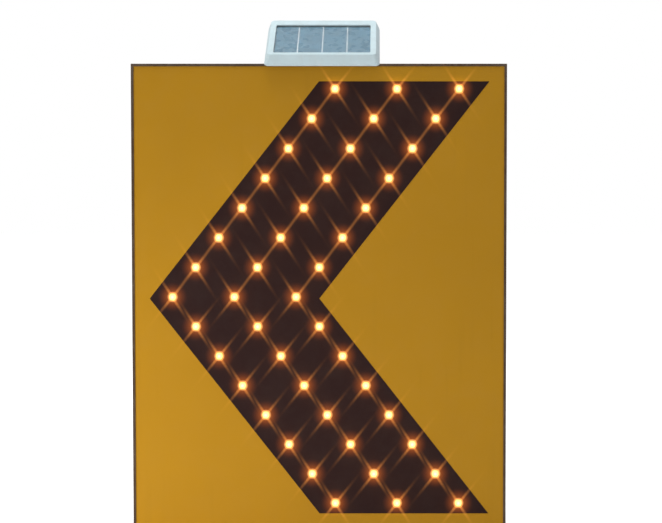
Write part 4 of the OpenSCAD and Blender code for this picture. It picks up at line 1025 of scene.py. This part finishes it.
def make_board_parts():
    """What stands on the control board, each kind in its own finish."""
    kinds = board_solids()
    finish_piece(joined([turned_shape([(0.0, 0.0), (2.4 * MM, 0.0), (2.5 * MM, 0.2 * MM),
                                       (2.5 * MM, high.y - low.y - 0.3 * MM),
                                       (2.2 * MM, high.y - low.y), (0.0, high.y - low.y)],
                                      on_face(low, high), 18)
                         for low, high in kinds["spacers"]]),
                 "board_spacers", "board_parts")
    cans, tops = [], []
    for low, high in kinds["capacitors"]:
        tall, radius = high.y - low.y, (high.x - low.x) / 2
        place = on_face(low, high)
        can = [(0.0, 0.0), (radius - 0.4 * MM, 0.0), (radius, 0.5 * MM), (radius, 1.4 * MM),
               (radius - 0.5 * MM, 1.8 * MM), (radius, 2.3 * MM), (radius, tall - 0.7 * MM),
               (radius - 0.6 * MM, tall - 0.1 * MM), (radius - 1.1 * MM, tall - 0.1 * MM),
               (radius - 1.1 * MM, tall - 0.5 * MM), (0.0, tall - 0.5 * MM)]
        cans.append(turned_shape(can, place, 28))
        top = turned_shape([(0.0, tall - 0.6 * MM), (radius - 1.15 * MM, tall - 0.6 * MM),
                            (radius - 1.3 * MM, tall - 0.15 * MM), (0.0, tall - 0.1 * MM)], place, 24)
        tops.append(top)
    finish_piece(joined(cans), "capacitor_sleeves", "board_parts", slot="black_plastic")
    finish_piece(joined(tops), "capacitor_tops", "board_parts", slot="plate_aluminium")
    for low, high in kinds["terminal"]:
        ways = 7
        way_w = (high.x - low.x) / ways
        blocks, screws = [], []
        for k in range(ways):
            x = low.x + way_w * k
            blocks.append(soft_block(Vector((x + 0.05 * MM, low.y, low.z)),
                                     Vector((x + way_w - 0.05 * MM, high.y - 2.0 * MM, high.z)), 0.3 * MM))
            blocks.append(soft_block(Vector((x + 0.05 * MM, high.y - 3.0 * MM, low.z + 2.2 * MM)),
                                     Vector((x + way_w - 0.05 * MM, high.y, high.z)), 0.3 * MM))
            screw = turned_shape([(0.0, 0.0), (1.6 * MM, 0.0), (1.6 * MM, 0.5 * MM), (1.3 * MM, 0.7 * MM),
                                  (0.35 * MM, 0.7 * MM), (0.35 * MM, 0.3 * MM), (0.0, 0.3 * MM)],
                                 at(x + way_w / 2, high.y - 0.55 * MM, high.z - 2.9 * MM) @ TOWARDS_BACK, 18)
            screws.append(screw)
        finish_piece(joined(blocks), "terminal_block", "board_parts", slot="circuit_green",
                     material=finishes["terminal_green"])
        finish_piece(joined(screws), "terminal_screws", "board_parts", slot="fastener_steel")
    heat = []
    for low, high in kinds["driver"]:
        heat.append(soft_block(low, Vector((high.x, low.y + 3 * MM, high.z)), 0.3 * MM))
        fins = 7
        for k in range(fins):
            x = low.x + (high.x - low.x - 1.0 * MM) * k / (fins - 1)
            heat.append(soft_block(Vector((x, low.y + 2.5 * MM, low.z)),
                                   Vector((x + 1.0 * MM, high.y, high.z)), 0.25 * MM, 1))
    finish_piece(joined(heat), "heat_sink", "board_parts", slot="plate_aluminium")
    finish_piece(joined([soft_block(low, high, 0.7 * MM) for low, high in kinds["relay"]]),
                 "relay_case", "board_parts", slot="battery_wrap", material=finishes["relay_blue"])
    make_small_parts()


def make_small_parts():
    """Chips, resistors and solder joints between the larger parts."""
    low, high = (Vector(v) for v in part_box("control_board"))
    chips, joints = [], []

    def chip(right, up, wide, tall, thick):
        corner = Vector((low.x + right, high.y, low.z + up))
        chips.append(soft_block(corner, corner + Vector((wide, thick, tall)), 0.15 * MM))
    for right, wide in ((8, 8.0), (21, 5.0), (31, 5.0), (41, 3.0)):
        chip(right * MM, 12.4 * MM, wide * MM, 4.0 * MM, 1.3 * MM)
    for k in range(10):
        chip((8 + 3.9 * k) * MM, (63.4 - 2.2 * (k % 2)) * MM, 2.0 * MM, 1.2 * MM, 0.6 * MM)
    finish_piece(joined(chips), "board_chips", "board_parts", slot="black_plastic")
    dome = [(0.0, 0.0), (0.75 * MM, 0.0), (0.35 * MM, 0.5 * MM), (0.0, 0.7 * MM)]
    for k in range(14):
        place = at(low.x + (10.5 + 2.4 * k) * MM, high.y, low.z + 10.3 * MM) @ TOWARDS_BACK
        joints.append(turned_shape(dome, place, 10))
    finish_piece(joined(joints), "solder_joints", "board_parts", slot="ribbon_tin")


def make_lid_rim():
    """A raised rim moulded on the outside of the control box's lid."""
    low, high = (Vector(v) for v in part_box("lid_seal"))
    middle = ((low.x + high.x) / 2, -(low.z + high.z) / 2)
    half_x, half_z = (high.x - low.x) / 2, (high.z - low.z) / 2
    loops = []
    for inset, rise in [(9.0, -0.3), (9.0, 0.35), (9.5, 0.6), (12.2, 0.6), (12.7, 0.35), (12.7, -0.3)]:
        loops.append((half_x - inset * MM, half_z - inset * MM, 5.0 * MM, rise * MM, middle))
    shape = placed(lofted(loops, 5), TOWARDS_BACK, at(0.0, lid_face(), 0.0))
    mesh_piece(shape, "lid_rim", "control_lid", "box_plastic")


def lid_face():
    """The plane of the lid's outer face."""
    heights = {}
    for vert in frame["nodes"]["control_lid"].data.vertices:
        if vert.co.z < joint("lock_turn").z + 60 * MM:
            heights[round(vert.co.y, 5)] = heights.get(round(vert.co.y, 5), 0) + 1
    return max(heights)


# ---------------------------------------------------------------- camera, light and floor

def make_camera():
    data = bpy.data.cameras.new("camera")
    data.sensor_width = 36.0
    data.lens = 74.8
    data.shift_x = -0.0708
    camera = bpy.data.objects.new("camera", data)
    camera.location = (0.094, -2.296, 0.3368)
    camera.rotation_euler = (math.radians(90 - 2.01), 0.0, 0.0)
    bpy.context.scene.collection.objects.link(camera)
    bpy.context.scene.camera = camera


def add_light(name, place, aim, size, power, colour=(1.0, 1.0, 1.0), spread=180):
    data = bpy.data.lights.new(name, "AREA")
    data.spread = math.radians(spread)
    data.shape = "RECTANGLE"
    data.size, data.size_y = size
    data.energy = power
    data.color = colour
    light = bpy.data.objects.new(name, data)
    light.location = place
    direction = Vector(aim) - Vector(place)
    light.rotation_euler = direction.to_track_quat("-Z", "Y").to_euler()
    light.visible_glossy = False
    bpy.context.scene.collection.objects.link(light)


def make_studio():
    """A white room: even light from all round, a soft key from low on the left, and a pale floor."""
    scene = bpy.context.scene
    scene.view_settings.view_transform = "Standard"
    scene.view_settings.look = "None"
    world = bpy.data.worlds.new("studio")
    world.use_nodes = True
    tree = world.node_tree
    sky = first(tree, "BACKGROUND")
    seen = put(tree, "ShaderNodeLightPath").outputs["Is Camera Ray"]
    tree.links.new(mix(tree, seen, (0.6, 0.61, 0.62, 1.0), WHITE), sky.inputs["Color"])
    scene.world = world
    middle = (0.0, -0.05, 0.2)
    add_light("key", (-0.8, -0.9, -0.06), (-0.3, -0.1, -0.16), (0.5, 0.5), 3.0, (1.0, 0.98, 0.95), 110)
    add_light("overhead", (-0.35, -0.3, 2.3), (0.0, -0.05, 0.6), (0.9, 0.9), 21.0)
    add_light("back", (-0.9, 2.2, 1.8), middle, (1.2, 1.2), 14.0)
    shape = bmesh.new()
    bmesh.ops.create_grid(shape, x_segments=1, y_segments=1, size=30.0)
    bmesh.ops.translate(shape, vec=(0.0, 0.0, cad_box[0][2] - 0.5 * MM), verts=shape.verts)
    mesh = bpy.data.meshes.new("floor")
    shape.to_mesh(mesh)
    shape.free()
    material, tree, shader, where = new_finish("pale_floor", Roughness=0.9, Specular_IOR_Level=0.1,
                                               Emission_Strength=0.5)
    soft = noise(tree, where, 1.2, 2.0)
    seen = put(tree, "ShaderNodeLightPath").outputs["Is Camera Ray"]
    join(tree, shader, Emission_Color=mix(tree, seen, BLACK, WHITE))
    join(tree, shader, Base_Color=mix(tree, soft, (0.93, 0.93, 0.93, 1.0), (0.96, 0.96, 0.96, 1.0)))
    mesh.materials.append(material)
    floor = bpy.data.objects.new("floor", mesh)
    scene.collection.objects.link(floor)


def make_glints():
    """The small glow and the two crossed streaks that a camera lens draws round each lit lamp."""
    scene = bpy.context.scene
    scene.view_layers[0].use_pass_emit = True
    scene.use_nodes = True
    tree = scene.node_tree
    tree.nodes.clear()
    layers = tree.nodes.new("CompositorNodeRLayers")
    picture = layers.outputs["Image"]
    bright = tree.nodes.new("CompositorNodeExposure")
    bright.inputs["Exposure"].default_value = 4.6
    tree.links.new(layers.outputs["Emit"], bright.inputs["Image"])
    glints = [("STREAKS", {"Streaks Angle": math.radians(51), "Threshold": 26.0, "Strength": 1.0}),
              ("STREAKS", {"Streaks Angle": math.radians(123), "Threshold": 26.0, "Strength": 1.0}),
              ("BLOOM", {"Size": 0.25, "Threshold": 16.0, "Strength": 0.16})]
    for kind, values in glints:
        glare = tree.nodes.new("CompositorNodeGlare")
        glare.glare_type = kind
        glare.quality = "HIGH"
        tree.links.new(bright.outputs["Image"], glare.inputs["Image"])
        values["Tint"] = (1.0, 0.46, 0.18, 1.0)
        if kind == "STREAKS":
            values.update({"Streaks": 2, "Iterations": 3, "Fade": 0.88, "Color Modulation": 0.0})
        for label, value in values.items():
            glare.inputs[label].default_value = value
        add = tree.nodes.new("CompositorNodeMixRGB")
        add.blend_type = "ADD"
        tree.links.new(picture, add.inputs[1])
        tree.links.new(glare.outputs["Glare"], add.inputs[2])
        picture = add.outputs[0]
    result = tree.nodes.new("CompositorNodeComposite")
    tree.links.new(picture, result.inputs["Image"])


# ---------------------------------------------------------------- building the object

make_camera()
make_studio()
make_glints()

for node, obj in frame["nodes"].items():
    for slot in obj.material_slots:
        slot.material = finishes[slot_of[node]]

make_lamps()
make_solar_housing()
make_panel_pane()
make_clamp_fasteners()
make_rail_bolts()
make_knob("tilt_knob_left", -1)
make_knob("tilt_knob_right", 1)
make_gland()
make_batteries()
make_board_parts()
make_lid_rim()
# How far the sharp edges of these CAD nodes are eased, in millimetres
EASED = {
    0.2: "solar_screws clamp_washers",
    0.3: "frame_top frame_bottom frame_left frame_right rail_upper rail_lower lock_cam battery_holder "
         "bracket_screws lid_hinge_pins pivot_bolts solar_back_cover",
    0.4: "tilt_bracket_left tilt_bracket_right panel_lugs lock_body switch_body",
    0.5: "cover_screws switch_rocker",
    0.7: "control_box control_lid",
    0.8: "clamp_saddle_upper clamp_saddle_lower clamp_strap_upper clamp_strap_lower junction_box",
}
for width, nodes in EASED.items():
    for node in nodes.split():
        eased(node, width * MM)
